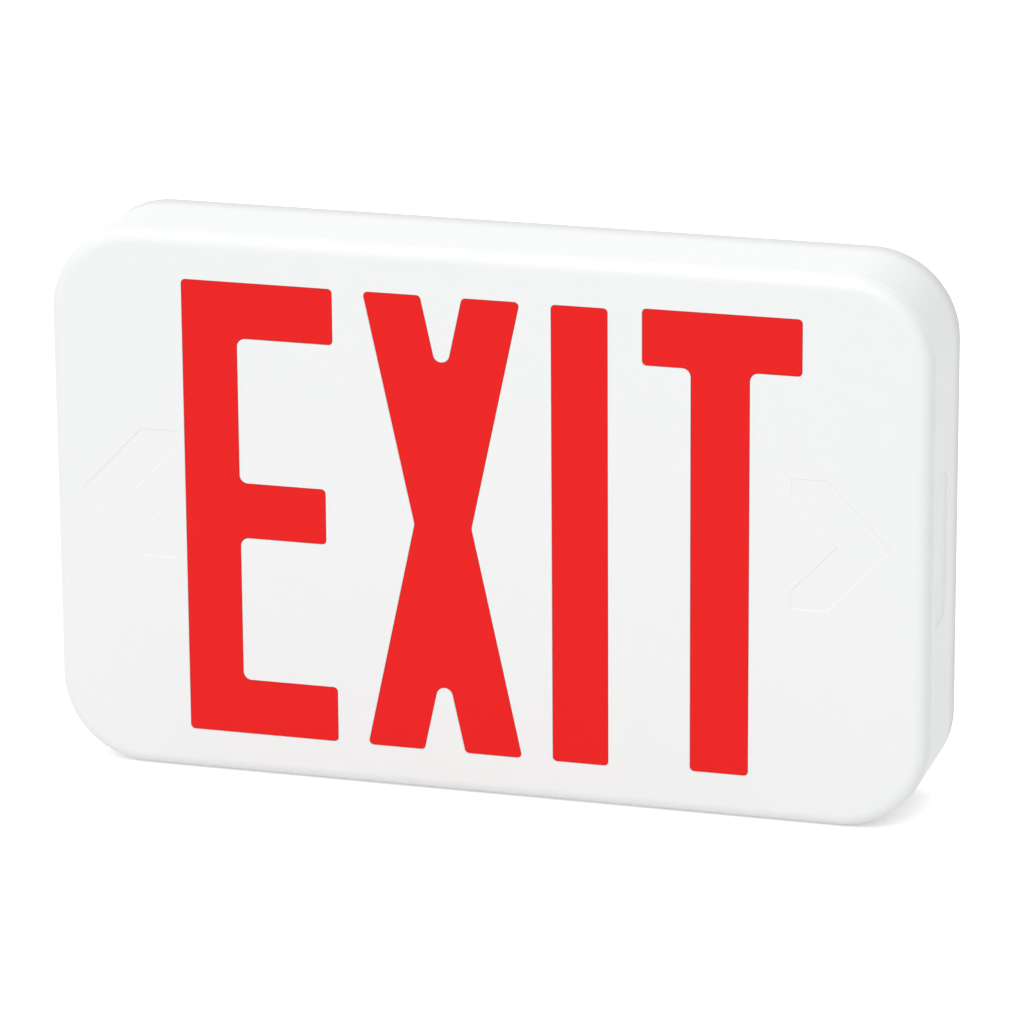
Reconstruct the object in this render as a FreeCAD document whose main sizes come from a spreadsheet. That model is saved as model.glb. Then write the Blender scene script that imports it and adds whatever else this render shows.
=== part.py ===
"""Emergency exit light: a snap-together wall sign with a red stencil legend and battery backup.

Millimetres, +Z up. The origin is the centre of the wire entry on the wall face, the front looks
along -Y, and +X is to the right of someone who reads the legend.
"""

import FreeCAD
import Part

import math
import os
import re

import Sketcher
from FreeCAD import Placement, Rotation, Vector

DIMENSIONS = (
    ("overall_width", 290.5, "outside width"),
    ("overall_height", 181.0, "outside height"),
    ("overall_depth", 43.0, "wall face to front face"),
    ("corner_radius", 28.5, "outline corners, seen from the front"),
    ("front_edge_radius", 4.2, "round between the face and the sides"),
    ("rear_edge_radius", 1.2, "round at the wall edge of the housing"),
    ("cover_depth", 5.0, "front face to the seam with the housing"),
    ("face_thickness", 1.6, "stencil face"),
    ("skirt_wall", 1.6, "side wall of the face cover"),
    ("inner_round", 2.0, "inside round between face and skirt"),
    ("seam_chamfer", 0.5, "each side of the seam"),
    ("housing_wall", 3.0, "side wall of the housing"),
    ("tongue_gap", 0.2, "between the housing's tongue and the skirt"),
    ("tongue_length", 2.0, "how far the tongue enters the cover"),
    ("ledge_width", 2.8, "flange that the back plate lies against"),
    ("ledge_thickness", 2.3, "the same flange, along Y"),
    ("letter_height", 152.4, "six inch legend"),
    ("letter_stroke", 18.6, "width of every stroke"),
    ("letter_gap", 10.1, "between E, X and I"),
    ("letter_gap_last", 11.1, "between I and T"),
    ("letter_e_width", 50.7, "top and bottom arms of the E"),
    ("letter_e_middle", 47.6, "middle arm of the E, from its left edge"),
    ("letter_x_width", 52.0, "X at its feet"),
    ("letter_x_waist", 19.1, "X at its middle"),
    ("letter_x_notch", 31.5, "depth of the sharp V between the legs of the X"),
    ("letter_t_width", 51.8, "bar of the T"),
    ("letter_t_stem", 19.2, "stem of the T"),
    ("letter_t_stem_shift", -0.5, "stem of the T from the middle of its bar"),
    ("letter_t_rise", 0.85, "T above the other letters"),
    ("legend_shift", 1.9, "legend centre to the right of the sign's centre"),
    ("legend_drop", 0.4, "legend centre below the sign's centre"),
    ("letter_outer_round", 1.5, "convex corners of the letters"),
    ("letter_inner_round", 2.7, "concave corners of the letters"),
    ("letter_clearance", 0.15, "lens letters to their openings, all round"),
    ("letter_step", 0.05, "lens letters behind the front face"),
    ("chevron_reach", 134.4, "tip from the pair's centre"),
    ("chevron_shoulder", 113.8, "outer corners from the pair's centre"),
    ("chevron_shift", -1.2, "pair's centre from the sign's centre"),
    ("chevron_height", 43.3, "over both legs"),
    ("chevron_leg", 17.6, "leg width, along X"),
    ("chevron_inner_end", 101.8, "square end of the legs from the pair's centre"),
    ("chevron_rise", 3.2, "tip above the sign's centre"),
    ("chevron_depth", 0.25, "break-out chevrons below the face"),
    ("chevron_slope", 45.0, "draft of their walls, in degrees"),
    ("knockout_length", 49.5, "canopy knock-out"),
    ("knockout_width", 18.0, "canopy knock-out, along Y"),
    ("knockout_round", 5.5, "canopy knock-out corners"),
    ("knockout_from_front", 17.0, "its centre behind the front face"),
    ("knockout_drop", 0.2, "its centre below the sign's centre"),
    ("knockout_depth", 0.4, "canopy knock-out below the side"),
    ("knockout_slope", 45.0, "draft of its walls, in degrees"),
    ("snap_width", 12.0, "cover hooks"),
    ("snap_thickness", 1.4, "cover hooks"),
    ("snap_gap", 0.3, "hook to housing wall"),
    ("snap_barb", 0.9, "how far a hook's barb stands out"),
    ("snap_barb_length", 2.0, "the barb along Y"),
    ("snap_reach", 5.4, "barb tip behind the seam"),
    ("snap_places_across", 75.0, "hooks left and right of centre on the top and bottom"),
    ("snap_places_up", 45.0, "hooks above and below centre at the ends"),
    ("lens_inset", 7.0, "outline to the edge of the lens"),
    ("lens_thickness", 1.5, "red lens"),
    ("clip_width", 6.0, "lens clips"),
    ("clip_thickness", 1.2, "lens clips"),
    ("clip_gap", 0.2, "clip to lens edge"),
    ("clip_places_across", 105.0, "clips left and right of centre on the top and bottom"),
    ("clip_places_up", 15.0, "clips above and below centre at the ends"),
    ("clip_barb", 0.8, "how far a clip laps over the lens"),
    ("clip_barb_length", 0.85, "the lap along Y"),
    ("tray_inset", 9.5, "outline to the outside of the tray"),
    ("tray_wall", 1.6, "reflector tray"),
    ("tray_back", 21.0, "tray's back in front of the wall face"),
    ("tray_rim", 39.7, "tray's rim in front of the wall face"),
    ("tray_screw_across", 118.0, "tray screws left and right of centre"),
    ("tray_screw_up", 76.0, "tray screws above and below centre"),
    ("boss_width", 10.0, "housing bosses for the tray screws"),
    ("boss_reach", 15.5, "from the wall of the housing"),
    ("boss_end", 3.7, "back of a boss in front of the wall face"),
    ("led_board_length", 230.0, "lamp boards"),
    ("led_board_width", 9.0, "along Y"),
    ("led_board_front", 36.0, "front edge of the lamp boards in front of the wall face"),
    ("led_board_thickness", 1.2, "lamp boards"),
    ("led_length", 3.0, "lamps along X and Y"),
    ("led_height", 1.0, "lamps"),
    ("led_pitch", 20.0, "lamps along X"),
    ("board_left", -14.0, "left edge of the driver board"),
    ("board_right", 98.0, "right edge of the driver board"),
    ("board_bottom", -81.5, "bottom edge of the driver board"),
    ("board_top", -26.5, "top edge of the driver board"),
    ("board_thickness", 1.6, "driver board"),
    ("standoff_height", 5.0, "tray's back to the driver board"),
    ("standoff_radius", 3.0, "posts under the driver board"),
    ("standoff_inset", 5.0, "post centres from the board's edges"),
    ("battery_left", -112.0, "battery pack"),
    ("battery_top", -23.25, "battery pack"),
    ("cell_length", 50.0, "three penlight cells side by side"),
    ("cell_diameter", 14.5, "with the shrink sleeve"),
    ("bracket_width", 10.0, "battery bracket along X"),
    ("bracket_thickness", 1.2, "battery bracket"),
    ("bracket_gap", 0.3, "bracket to battery"),
    ("bracket_foot", 8.0, "each foot along Z"),
    ("bracket_post_height", 6.0, "tray posts under the feet"),
    ("bracket_post_radius", 3.5, "tray posts under the feet"),
    ("plate_thickness", 2.2, "back plate"),
    ("plate_gap", 0.15, "back plate to housing, all round"),
    ("plate_rib_width", 1.5, "rib round the inside of the back plate"),
    ("plate_rib_height", 1.2, "the same rib"),
    ("plate_hook_width", 10.0, "back plate hooks"),
    ("plate_hook_reach", 4.4, "back plate hooks along Y"),
    ("plate_hook_across", 92.0, "hooks left and right of centre on the top and bottom"),
    ("plate_hook_up", 45.0, "hooks above and below centre at the ends"),
    ("plate_hook_barb", 1.0, "how far a back plate hook laps over the flange"),
    ("wire_entry_radius", 11.1, "22.2 mm wire entry"),
    ("octagon_spacing", 88.9, "screws of an octagon box, centre to centre"),
    ("octagon_hole_radius", 2.4, "screws of an octagon box"),
    ("device_spacing", 83.3, "screws of a device box, centre to centre"),
    ("device_hole_radius", 2.0, "screws of a device box"),
    ("keyhole_across", 90.0, "keyholes left and right of centre"),
    ("keyhole_up", 40.0, "keyholes above centre"),
    ("keyhole_head_radius", 4.5, "keyhole's round end"),
    ("keyhole_slot_radius", 2.2, "keyhole's narrow end"),
    ("keyhole_length", 8.0, "between the centres of the two ends"),
    ("spare_entry_across", 105.0, "spare wire knock-outs left and right of centre"),
    ("spare_entry_groove", 1.0, "width of the groove round a spare knock-out"),
    ("button_across", 60.0, "test button right of centre"),
    ("light_across", 40.0, "status light right of centre"),
    ("switch_axis", 10.9, "button and light in front of the wall face"),
    ("button_hole_radius", 3.5, "hole in the housing's bottom"),
    ("button_radius", 3.3, "test button's stem"),
    ("button_flange_radius", 4.7, "test button's flange"),
    ("button_flange_height", 1.0, "test button's flange"),
    ("button_gap", 0.1, "flange above the housing's bottom wall"),
    ("button_recess", 0.3, "button's end inside the outline"),
    ("plunger_radius", 1.5, "switch plunger"),
    ("plunger_length", 5.9, "switch plunger"),
    ("plunger_bore_radius", 1.6, "switch bore"),
    ("plunger_bore_depth", 5.0, "switch bore"),
    ("switch_size", 7.0, "switch case, each way"),
    ("switch_overhang", 1.5, "switch case past the edge of the board"),
    ("light_hole_radius", 2.65, "hole in the housing's bottom"),
    ("light_radius", 2.5, "five millimetre lamp"),
    ("light_recess", 0.4, "lamp's tip inside the outline"),
    ("light_length", 6.7, "lamp's tip to the back of its flange"),
    ("light_flange_radius", 2.9, "lamp's flange"),
    ("light_leg", 0.6, "lamp's square legs"),
    ("light_leg_spacing", 2.54, "lamp's legs, centre to centre"),
    ("light_leg_length", 4.2, "lamp's flange to the bend of its legs"),
    ("clip_reach", 2.4, "lamp board clips from the tray's wall"),
    ("screw_gap", 0.05, "screws to their pilot holes"),
    ("tray_screw_radius", 1.5, "M3 shank"),
    ("tray_screw_head_radius", 2.8, "M3 pan head"),
    ("tray_screw_head_height", 2.0, "M3 pan head"),
    ("tray_screw_length", 8.0, "under the head"),
    ("board_screw_radius", 1.25, "M2.5 shank"),
    ("board_screw_head_radius", 2.3, "M2.5 pan head"),
    ("board_screw_head_height", 1.7, "M2.5 pan head"),
    ("board_screw_length", 5.6, "under the head"),
    ("bracket_screw_radius", 1.5, "M3 shank"),
    ("bracket_screw_head_radius", 2.8, "M3 pan head"),
    ("bracket_screw_head_height", 2.0, "M3 pan head"),
    ("bracket_screw_length", 6.2, "under the head"),
    ("terminal_screw_radius", 1.0, "clamp screws of the supply terminals"),
    ("terminal_screw_head_radius", 1.6, "clamp screws of the supply terminals"),
    ("terminal_screw_head_height", 1.0, "clamp screws of the supply terminals"),
    ("terminal_screw_length", 4.0, "under the head"),
    ("lead_hole_radius", 2.5, "lead holes in the tray"),
    ("lead_diameter", 1.6, "battery leads"),
    ("twin_lead_diameter", 2.0, "lamp board leads"),
)

doc = FreeCAD.newDocument("ExitLight")
sheet = doc.addObject("Spreadsheet::Sheet", "Dims")
for row, (alias, millimetres, note) in enumerate(DIMENSIONS, start=1):
    sheet.set(f"A{row}", note)
    sheet.set(f"B{row}", str(millimetres))
    sheet.setAlias(f"B{row}", alias)
doc.recompute()

ALIAS = re.compile(r"\b[a-z]+(?:_[a-z]+)+\b")
SIDES = (-1, 1)
parts = []


def size(alias):
    """The sheet's value under an alias."""
    return float(sheet.get(alias))


def bind(target, prop, expression):
    """Ties a property to an expression over the sheet's aliases."""
    target.setExpression(prop, ALIAS.sub(lambda found: "Dims." + found.group(), expression))


def keep(obj, node):
    """Names a finished sub-part and lists it for export."""
    obj.Label = node
    parts.append(obj)
    return obj


# ---------------------------------------------------------------- bodies, sketches and features


def new_body(name):
    return doc.addObject("PartDesign::Body", name)


def new_sketch(body, name, role, offset="0"):
    """A sketch parallel to one of the body's origin planes. On XZ_Plane the offset runs to -Y."""
    sketch = body.newObject("Sketcher::SketchObject", name)
    support = next(plane for plane in body.Origin.OriginFeatures if plane.Role == role)
    sketch.AttachmentSupport = [(support, "")]
    sketch.MapMode = "FlatFace"
    bind(sketch, "AttachmentOffset.Base.z", offset)
    return sketch


def rounded_rectangle(sketch, width, height, radius, near, centre=("0", "0")):
    """Four lines and four tangent arcs about a centre, driven by expressions.

    near is a rough width, height, radius and centre that the solver starts from.
    """
    wide, high, bend, mid_x, mid_y = near
    across, up = wide / 2 - bend, high / 2 - bend
    middle = Vector(mid_x, mid_y, 0)
    first = sketch.GeometryCount
    quarter = math.pi / 2
    turns = ((1, -1, -1), (1, 1, 0), (-1, 1, 1), (-1, -1, 2))
    for step, (side_x, side_y, start) in enumerate(turns):
        hub = middle + Vector(side_x * across, side_y * up, 0)
        before = hub + Vector(math.cos(start * quarter), math.sin(start * quarter), 0) * bend
        along = (Vector(-2 * across, 0, 0), Vector(0, -2 * up, 0))[step % 2]
        if step > 1:
            along = along * -1
        circle = Part.Circle(hub, Vector(0, 0, 1), bend)
        sketch.addGeometry(Part.LineSegment(before + along, before), False)
        sketch.addGeometry(Part.ArcOfCircle(circle, start * quarter, (start + 1) * quarter), False)
    sketch.addGeometry(Part.Point(middle), True)
    lines = [first + 2 * step for step in range(4)]
    arcs = [line + 1 for line in lines]
    point = first + 8
    rules = []
    for step in range(4):
        rules.append(Sketcher.Constraint("Tangent", lines[step], 2, arcs[step], 1))
        rules.append(Sketcher.Constraint("Tangent", arcs[step], 2, lines[(step + 1) % 4], 1))
        rules.append(Sketcher.Constraint(("Horizontal", "Vertical")[step % 2], lines[step]))
    for arc in arcs[1:]:
        rules.append(Sketcher.Constraint("Equal", arcs[0], arc))
    rules.append(Sketcher.Constraint("Symmetric", arcs[0], 3, arcs[2], 3, point, 1))
    sketch.addConstraint(rules)
    driven = (
        (Sketcher.Constraint("DistanceX", lines[3], 1, lines[1], 1, wide), width),
        (Sketcher.Constraint("DistanceY", lines[0], 1, lines[2], 1, high), height),
        (Sketcher.Constraint("Radius", arcs[0], bend), radius),
        (Sketcher.Constraint("DistanceX", -1, 1, point, 1, mid_x), centre[0]),
        (Sketcher.Constraint("DistanceY", -1, 1, point, 1, mid_y), centre[1]),
    )
    for rule, expression in driven:
        bind(sketch, f"Constraints[{sketch.addConstraint(rule)}]", expression)


def outline(sketch, inset="0"):
    """The sign's own rounded outline, moved in by an inset."""
    near = (size("overall_width"), size("overall_height"), size("corner_radius"), 0, 0)
    rounded_rectangle(
        sketch,
        f"overall_width - 2 * ({inset})",
        f"overall_height - 2 * ({inset})",
        f"corner_radius - ({inset})",
        near,
    )


def fixed_loop(sketch, corners):
    """A closed loop through corners (x, y, radius), each rounded by its radius and then fixed."""
    count = len(corners)
    pieces = []
    starts, ends = [], []
    for index, (x, y, radius) in enumerate(corners):
        here = Vector(x, y, 0)
        before = Vector(*corners[index - 1][:2], 0) - here
        after = Vector(*corners[(index + 1) % count][:2], 0) - here
        if radius == 0:
            starts.append(here)
            ends.append(here)
            continue
        half = before.getAngle(after) / 2
        before.normalize()
        after.normalize()
        back = radius / math.tan(half)
        toward = (before + after).normalize()
        nearest = here + toward * (radius / math.sin(half) - radius)
        starts.append(here + before * back)
        ends.append(here + after * back)
        pieces.append(Part.Arc(starts[-1], nearest, ends[-1]))
    for index in range(count):
        if ends[index - 1].distanceToPoint(starts[index]) > 1e-6:
            pieces.append(Part.LineSegment(ends[index - 1], starts[index]))
    for piece in pieces:
        sketch.addConstraint(Sketcher.Constraint("Block", sketch.addGeometry(piece, False)))


def fixed_rectangles(sketch, rectangles):
    """Closed rectangles (x0, y0, x1, y1) at fixed places."""
    for x0, y0, x1, y1 in rectangles:
        fixed_loop(sketch, ((x0, y0, 0), (x1, y0, 0), (x1, y1, 0), (x0, y1, 0)))


def circles(sketch, centres, radius):
    """Equal circles at fixed centres with their radius bound to an expression."""
    for x, y in centres:
        circle = sketch.addGeometry(Part.Circle(Vector(x, y, 0), Vector(0, 0, 1), 1.0), False)
        sketch.addConstraint(Sketcher.Constraint("DistanceX", -1, 1, circle, 3, x))
        sketch.addConstraint(Sketcher.Constraint("DistanceY", -1, 1, circle, 3, y))
        rule = sketch.addConstraint(Sketcher.Constraint("Radius", circle, 1.0))
        bind(sketch, f"Constraints[{rule}]", radius)


def feature(body, kind, sketch, length, reverse=False):
    """A Pad or Pocket of a sketch. A Pad runs to the sketch's normal and a Pocket against it."""
    made = body.newObject(f"PartDesign::{kind}", f"{sketch.Name}{kind}")
    made.Profile = sketch
    made.Reversed = reverse
    bind(made, "Length", length)
    doc.recompute()
    return made


def dress(body, kind, name, base, wanted, prop, expression):
    """A Fillet or Chamfer on the edges of a feature that wanted(edge) picks."""
    edges = [f"Edge{n}" for n, edge in enumerate(base.Shape.Edges, start=1) if wanted(edge)]
    made = body.newObject(f"PartDesign::{kind}", name)
    made.Base = (base, edges)
    bind(made, prop, expression)
    doc.recompute()
    return made


def at_depth(depth):
    """Picks edges that lie at one distance in front of the wall face."""

    def wanted(edge):
        box = edge.BoundBox
        return abs(box.YMin + depth) < 1e-3 and abs(box.YMax + depth) < 1e-3

    return wanted


def behind(depth):
    """Picks edges that reach nearer to the wall than one distance in front of it."""
    return lambda edge: edge.BoundBox.YMax > 1e-3 - depth


# ---------------------------------------------------------------- plain solids


def block(name, low, high):
    """A box between two corners, each given as three expressions."""
    box = doc.addObject("Part::Box", name)
    for prop, axis, start, end in zip(("Length", "Width", "Height"), "xyz", low, high):
        bind(box, prop, f"({end}) - ({start})")
        bind(box, f"Placement.Base.{axis}", start)
    return box


ALONG = {
    "x": Rotation(Vector(0, 0, 1), Vector(1, 0, 0)),
    "y": Rotation(Vector(0, 0, 1), Vector(0, 1, 0)),
    "z": Rotation(),
}


def rod(name, base, axis, radius, length):
    """A cylinder from a base point along +X, +Y or +Z."""
    cylinder = doc.addObject("Part::Cylinder", name)
    cylinder.Placement.Rotation = ALONG[axis]
    bind(cylinder, "Radius", radius)
    bind(cylinder, "Height", length)
    for letter, expression in zip("xyz", base):
        bind(cylinder, f"Placement.Base.{letter}", expression)
    return cylinder


def fuse(name, members):
    joined = doc.addObject("Part::MultiFuse", name)
    joined.Shapes = members
    return joined


def cut(name, base, tool):
    result = doc.addObject("Part::Cut", name)
    result.Base = base
    result.Tool = tool
    return result


def eased(name, kind, base, amount, wanted):
    """A Fillet or Chamfer of one size on the edges of a solid that wanted(edge) picks."""
    doc.recompute()
    edges = [n for n, edge in enumerate(base.Shape.Edges, start=1) if wanted(edge)]
    made = doc.addObject(f"Part::{kind}", name)
    made.Base = base
    made.Edges = [(n, amount, amount) for n in edges]
    return made


def group(name, members):
    """Like pieces kept as separate solids of one sub-part."""
    compound = doc.addObject("Part::Compound", name)
    compound.Links = members
    return compound


def solid_feature(name, shape):
    made = doc.addObject("Part::Feature", name)
    made.Shape = shape
    return made


# ---------------------------------------------------------------- face cover

SEAM = "overall_depth - cover_depth"
half_width = size("overall_width") / 2
half_height = size("overall_height") / 2
seam = size("overall_depth") - size("cover_depth")
face_back = size("overall_depth") - size("face_thickness")


def letter_loops():
    """The four openings of the legend as corners (x, z, radius)."""
    top = size("letter_height") / 2
    stroke = size("letter_stroke")
    outer, inner = size("letter_outer_round"), size("letter_inner_round")
    gap = size("letter_gap")
    widths = [size("letter_e_width"), size("letter_x_width"), stroke, size("letter_t_width")]
    total = sum(widths) + 2 * gap + size("letter_gap_last")
    left = size("legend_shift") - total / 2

    mid = stroke / 2
    arm, middle_arm = left + widths[0], left + size("letter_e_middle")
    stem = left + stroke
    upper = ((arm, top, outer), (arm, top - stroke, outer), (stem, top - stroke, inner))
    centre = ((stem, mid, inner), (middle_arm, mid, outer))
    letter_e = [(left, top, outer), *upper, *centre]
    letter_e += [(x, -z, radius) for x, z, radius in reversed(letter_e)]

    left += widths[0] + gap
    axis = left + widths[1] / 2
    waist = size("letter_x_waist") / 2
    foot_out, foot_in = widths[1] / 2, widths[1] / 2 - size("letter_x_waist")
    notch = top - size("letter_x_notch")
    quarter = [(waist, 0, inner), (foot_out, top, outer), (foot_in, top, outer)]
    letter_x = [(axis + x, z, radius) for x, z, radius in quarter]
    letter_x.append((axis, notch, inner))
    letter_x += [(axis - x, z, radius) for x, z, radius in reversed(quarter)]
    letter_x += [(axis - x, -z, radius) for x, z, radius in quarter[1:]]
    letter_x.append((axis, -notch, inner))
    letter_x += [(axis + x, -z, radius) for x, z, radius in reversed(quarter[1:])]

    left += widths[1] + gap
    right = left + widths[2]
    letter_i = [(left, top, outer), (right, top, outer), (right, -top, outer), (left, -top, outer)]

    left = right + size("letter_gap_last")
    right = left + widths[3]
    stem_axis = (left + right) / 2 + size("letter_t_stem_shift")
    stem_left = stem_axis - size("letter_t_stem") / 2
    stem_right = stem_axis + size("letter_t_stem") / 2
    under = top - stroke
    letter_t = [(left, top, outer), (right, top, outer), (right, under, outer)]
    letter_t += [(stem_right, under, inner), (stem_right, -top, outer)]
    letter_t += [(stem_left, -top, outer), (stem_left, under, inner), (left, under, outer)]

    drop = size("legend_drop")
    places = (
        (letter_e, -drop),
        (letter_x, -drop),
        (letter_i, -drop),
        (letter_t, size("letter_t_rise") - drop),
    )
    return [[(x, z + rise, radius) for x, z, radius in loop] for loop, rise in places]


def inset_loop(corners, amount):
    """The same loop moved in by an amount, its rounds kept concentric."""
    points = [Vector(x, y, 0) for x, y, _ in corners]
    count = len(points)
    turn = math.copysign(1, sum(points[n - 1].cross(points[n]).z for n in range(count)))
    moved = []
    for index, here in enumerate(points):
        back = (points[index - 1] - here).normalize()
        on = (points[(index + 1) % count] - here).normalize()
        bend = turn * on.cross(back).z
        place = here + (back + on) * (amount / bend)
        moved.append((place.x, place.y, corners[index][2] - math.copysign(amount, bend)))
    return moved


def chevron_loop(side):
    """Corners of one chevron."""
    tip, shoulder, end = (size(f"chevron_{name}") for name in ("reach", "shoulder", "inner_end"))
    half = size("chevron_height") / 2
    inner_tip = tip - size("chevron_leg")
    cut_back = half * (inner_tip - end) / (tip - shoulder)
    upper = [(end, half), (shoulder, half), (tip, 0)]
    lower = [(shoulder, -half), (end, -half), (end, -cut_back)]
    corners = [*upper, *lower, (inner_tip, 0), (end, cut_back)]
    shift, rise = size("chevron_shift"), size("chevron_rise")
    return [(shift + side * x, rise + z, 0) for x, z in corners]


def wall_rectangles(face, thickness, width, across, up):
    """Rectangles that stand along the four sides of the outline.

    face is how far in from the outline their outer faces are. They stand at plus and minus
    across on the top and bottom, and at plus and minus up at the two ends.
    """
    made = []
    for side in SIDES:
        for place in (-across, across):
            edge = side * (half_height - face)
            low, high = sorted((edge, edge - side * thickness))
            made.append((place - width / 2, low, place + width / 2, high))
        for place in (-up, up):
            edge = side * (half_width - face)
            low, high = sorted((edge, edge - side * thickness))
            made.append((low, place - width / 2, high, place + width / 2))
    return made


def make_face_cover():
    """Stencil face with its rounded edge and skirt, hooks for the housing and clips for the lens."""
    body = new_body("FaceCover")
    sketch = new_sketch(body, "CoverOutline", "XZ_Plane", SEAM)
    outline(sketch)
    blank = feature(body, "Pad", sketch, "cover_depth")
    front = at_depth(size("overall_depth"))
    rounded = dress(body, "Fillet", "CoverFrontEdge", blank, front, "Radius", "front_edge_radius")
    dress(body, "Chamfer", "CoverSeamEdge", rounded, at_depth(seam), "Size", "seam_chamfer")

    sketch = new_sketch(body, "CoverInside", "XZ_Plane", SEAM)
    outline(sketch, "skirt_wall")
    hollow = feature(body, "Pocket", sketch, "cover_depth - face_thickness", reverse=True)
    inside = at_depth(face_back)
    dress(body, "Fillet", "CoverInsideEdge", hollow, inside, "Radius", "inner_round")

    sketch = new_sketch(body, "Legend", "XZ_Plane", "overall_depth")
    for loop in letter_loops():
        fixed_loop(sketch, loop)
    feature(body, "Pocket", sketch, "face_thickness")

    sketch = new_sketch(body, "Chevrons", "XZ_Plane", "overall_depth")
    for side in SIDES:
        fixed_loop(sketch, chevron_loop(side))
    recess = feature(body, "Pocket", sketch, "chevron_depth")
    bind(recess, "TaperAngle", "-chevron_slope")

    hook_face = size("housing_wall") + size("snap_gap")
    places = (size("snap_width"), size("snap_places_across"), size("snap_places_up"))
    sketch = new_sketch(body, "SnapArms", "XZ_Plane", "overall_depth - face_thickness")
    fixed_rectangles(sketch, wall_rectangles(hook_face, size("snap_thickness"), *places))
    arm = "cover_depth - face_thickness + snap_reach"
    feature(body, "Pad", sketch, arm, reverse=True)
    sketch = new_sketch(body, "SnapBarbs", "XZ_Plane", f"{SEAM} - snap_reach")
    barb = size("snap_barb")
    fixed_rectangles(sketch, wall_rectangles(hook_face - barb, barb, *places))
    feature(body, "Pad", sketch, "snap_barb_length")

    lens_edge = size("lens_inset") - size("clip_gap")
    clip = size("clip_thickness")
    places = (size("clip_width"), size("clip_places_across"), size("clip_places_up"))
    sketch = new_sketch(body, "LensClips", "XZ_Plane", "overall_depth - face_thickness")
    fixed_rectangles(sketch, wall_rectangles(lens_edge - clip, clip, *places))
    reach = "lens_thickness + clip_barb_length"
    feature(body, "Pad", sketch, reach, reverse=True)
    lap = f"overall_depth - face_thickness - ({reach})"
    sketch = new_sketch(body, "LensClipBarbs", "XZ_Plane", lap)
    lap_width = size("clip_gap") + size("clip_barb")
    fixed_rectangles(sketch, wall_rectangles(lens_edge, lap_width, *places))
    feature(body, "Pad", sketch, "clip_barb_length")
    return keep(body, "face_cover")


# ---------------------------------------------------------------- housing

tray_screw_x, tray_screw_z = size("tray_screw_across"), size("tray_screw_up")
TRAY_SCREWS = [(x * tray_screw_x, z * tray_screw_z) for x in SIDES for z in SIDES]


def make_housing():
    """Surround with a tongue for the cover, a flange for the back plate and bosses for the tray."""
    body = new_body("Housing")
    sketch = new_sketch(body, "HousingOutline", "XZ_Plane")
    outline(sketch)
    blank = feature(body, "Pad", sketch, SEAM)
    rear = dress(body, "Fillet", "HousingRearEdge", blank, at_depth(0), "Radius", "rear_edge_radius")
    dress(body, "Chamfer", "HousingSeamEdge", rear, at_depth(seam), "Size", "seam_chamfer")

    sketch = new_sketch(body, "HousingTongue", "XZ_Plane", SEAM)
    outline(sketch, "skirt_wall + tongue_gap")
    feature(body, "Pad", sketch, "tongue_length")
    sketch = new_sketch(body, "HousingInside", "XZ_Plane")
    outline(sketch, "housing_wall")
    feature(body, "Pocket", sketch, f"{SEAM} + tongue_length", reverse=True)

    sketch = new_sketch(body, "HousingFlange", "XZ_Plane", "plate_thickness + plate_gap")
    outline(sketch, "housing_wall - 1")
    outline(sketch, "housing_wall + ledge_width")
    feature(body, "Pad", sketch, "ledge_thickness")

    sketch = new_sketch(body, "TrayBosses", "XZ_Plane", "boss_end")
    boss_across, boss_half = size("tray_screw_across"), size("boss_width") / 2
    boss_root = half_height - size("housing_wall") + 1
    boss_tip = half_height - size("housing_wall") - size("boss_reach")
    bosses = []
    for side_x in SIDES:
        for side_z in SIDES:
            low, high = sorted((side_z * boss_tip, side_z * boss_root))
            x = side_x * boss_across
            bosses.append((x - boss_half, low, x + boss_half, high))
    fixed_rectangles(sketch, bosses)
    feature(body, "Pad", sketch, "tray_back - boss_end")
    sketch = new_sketch(body, "TrayPilots", "XZ_Plane", "tray_back")
    circles(sketch, TRAY_SCREWS, "tray_screw_radius + screw_gap")
    feature(body, "Pocket", sketch, "tray_screw_length")

    sketch = new_sketch(body, "SnapCatches", "XZ_Plane", f"{SEAM} - snap_reach - snap_gap")
    catch = (size("snap_width") + 2, size("snap_places_across"), size("snap_places_up"))
    depth = size("snap_barb")
    face = size("housing_wall") - depth
    fixed_rectangles(sketch, wall_rectangles(face, depth + 0.5, *catch))
    feature(body, "Pocket", sketch, "snap_barb_length + 2 * snap_gap", reverse=True)

    sides = ("knockout_width", "knockout_length", "knockout_round")
    middle = size("knockout_from_front") - size("overall_depth")
    near = (*(size(side) for side in sides), middle, -size("knockout_drop"))
    centre = ("knockout_from_front - overall_depth", "-knockout_drop")
    for side, name in ((-1, "LeftKnockout"), (1, "RightKnockout")):
        sketch = new_sketch(body, name, "YZ_Plane", f"{side} * overall_width / 2")
        rounded_rectangle(sketch, *sides, near, centre)
        recess = feature(body, "Pocket", sketch, "knockout_depth", reverse=side < 0)
        bind(recess, "TaperAngle", "-knockout_slope")

    for name, across, radius in (
        ("ButtonHole", "button_across", "button_hole_radius"),
        ("LightHole", "light_across", "light_hole_radius"),
    ):
        sketch = new_sketch(body, name, "XY_Plane", "-overall_height / 2")
        circles(sketch, [(size(across), -size("switch_axis"))], radius)
        feature(body, "Pocket", sketch, "housing_wall + 1", reverse=True)
    return keep(body, "housing")


# ---------------------------------------------------------------- back plate


def spaced_pair(spacing, way):
    """Two centres a spacing apart about the origin."""
    half = size(spacing) / 2
    return [(side * half * way[0], side * half * way[1]) for side in SIDES]


def keyhole_slot(x, z):
    """The narrow part of a keyhole, square where it meets the head and round at its top."""
    slot = size("keyhole_slot_radius")
    top = z + size("keyhole_length") + slot
    return [(x - slot, z, 0), (x + slot, z, 0), (x + slot, top, slot), (x - slot, top, slot)]


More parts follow.
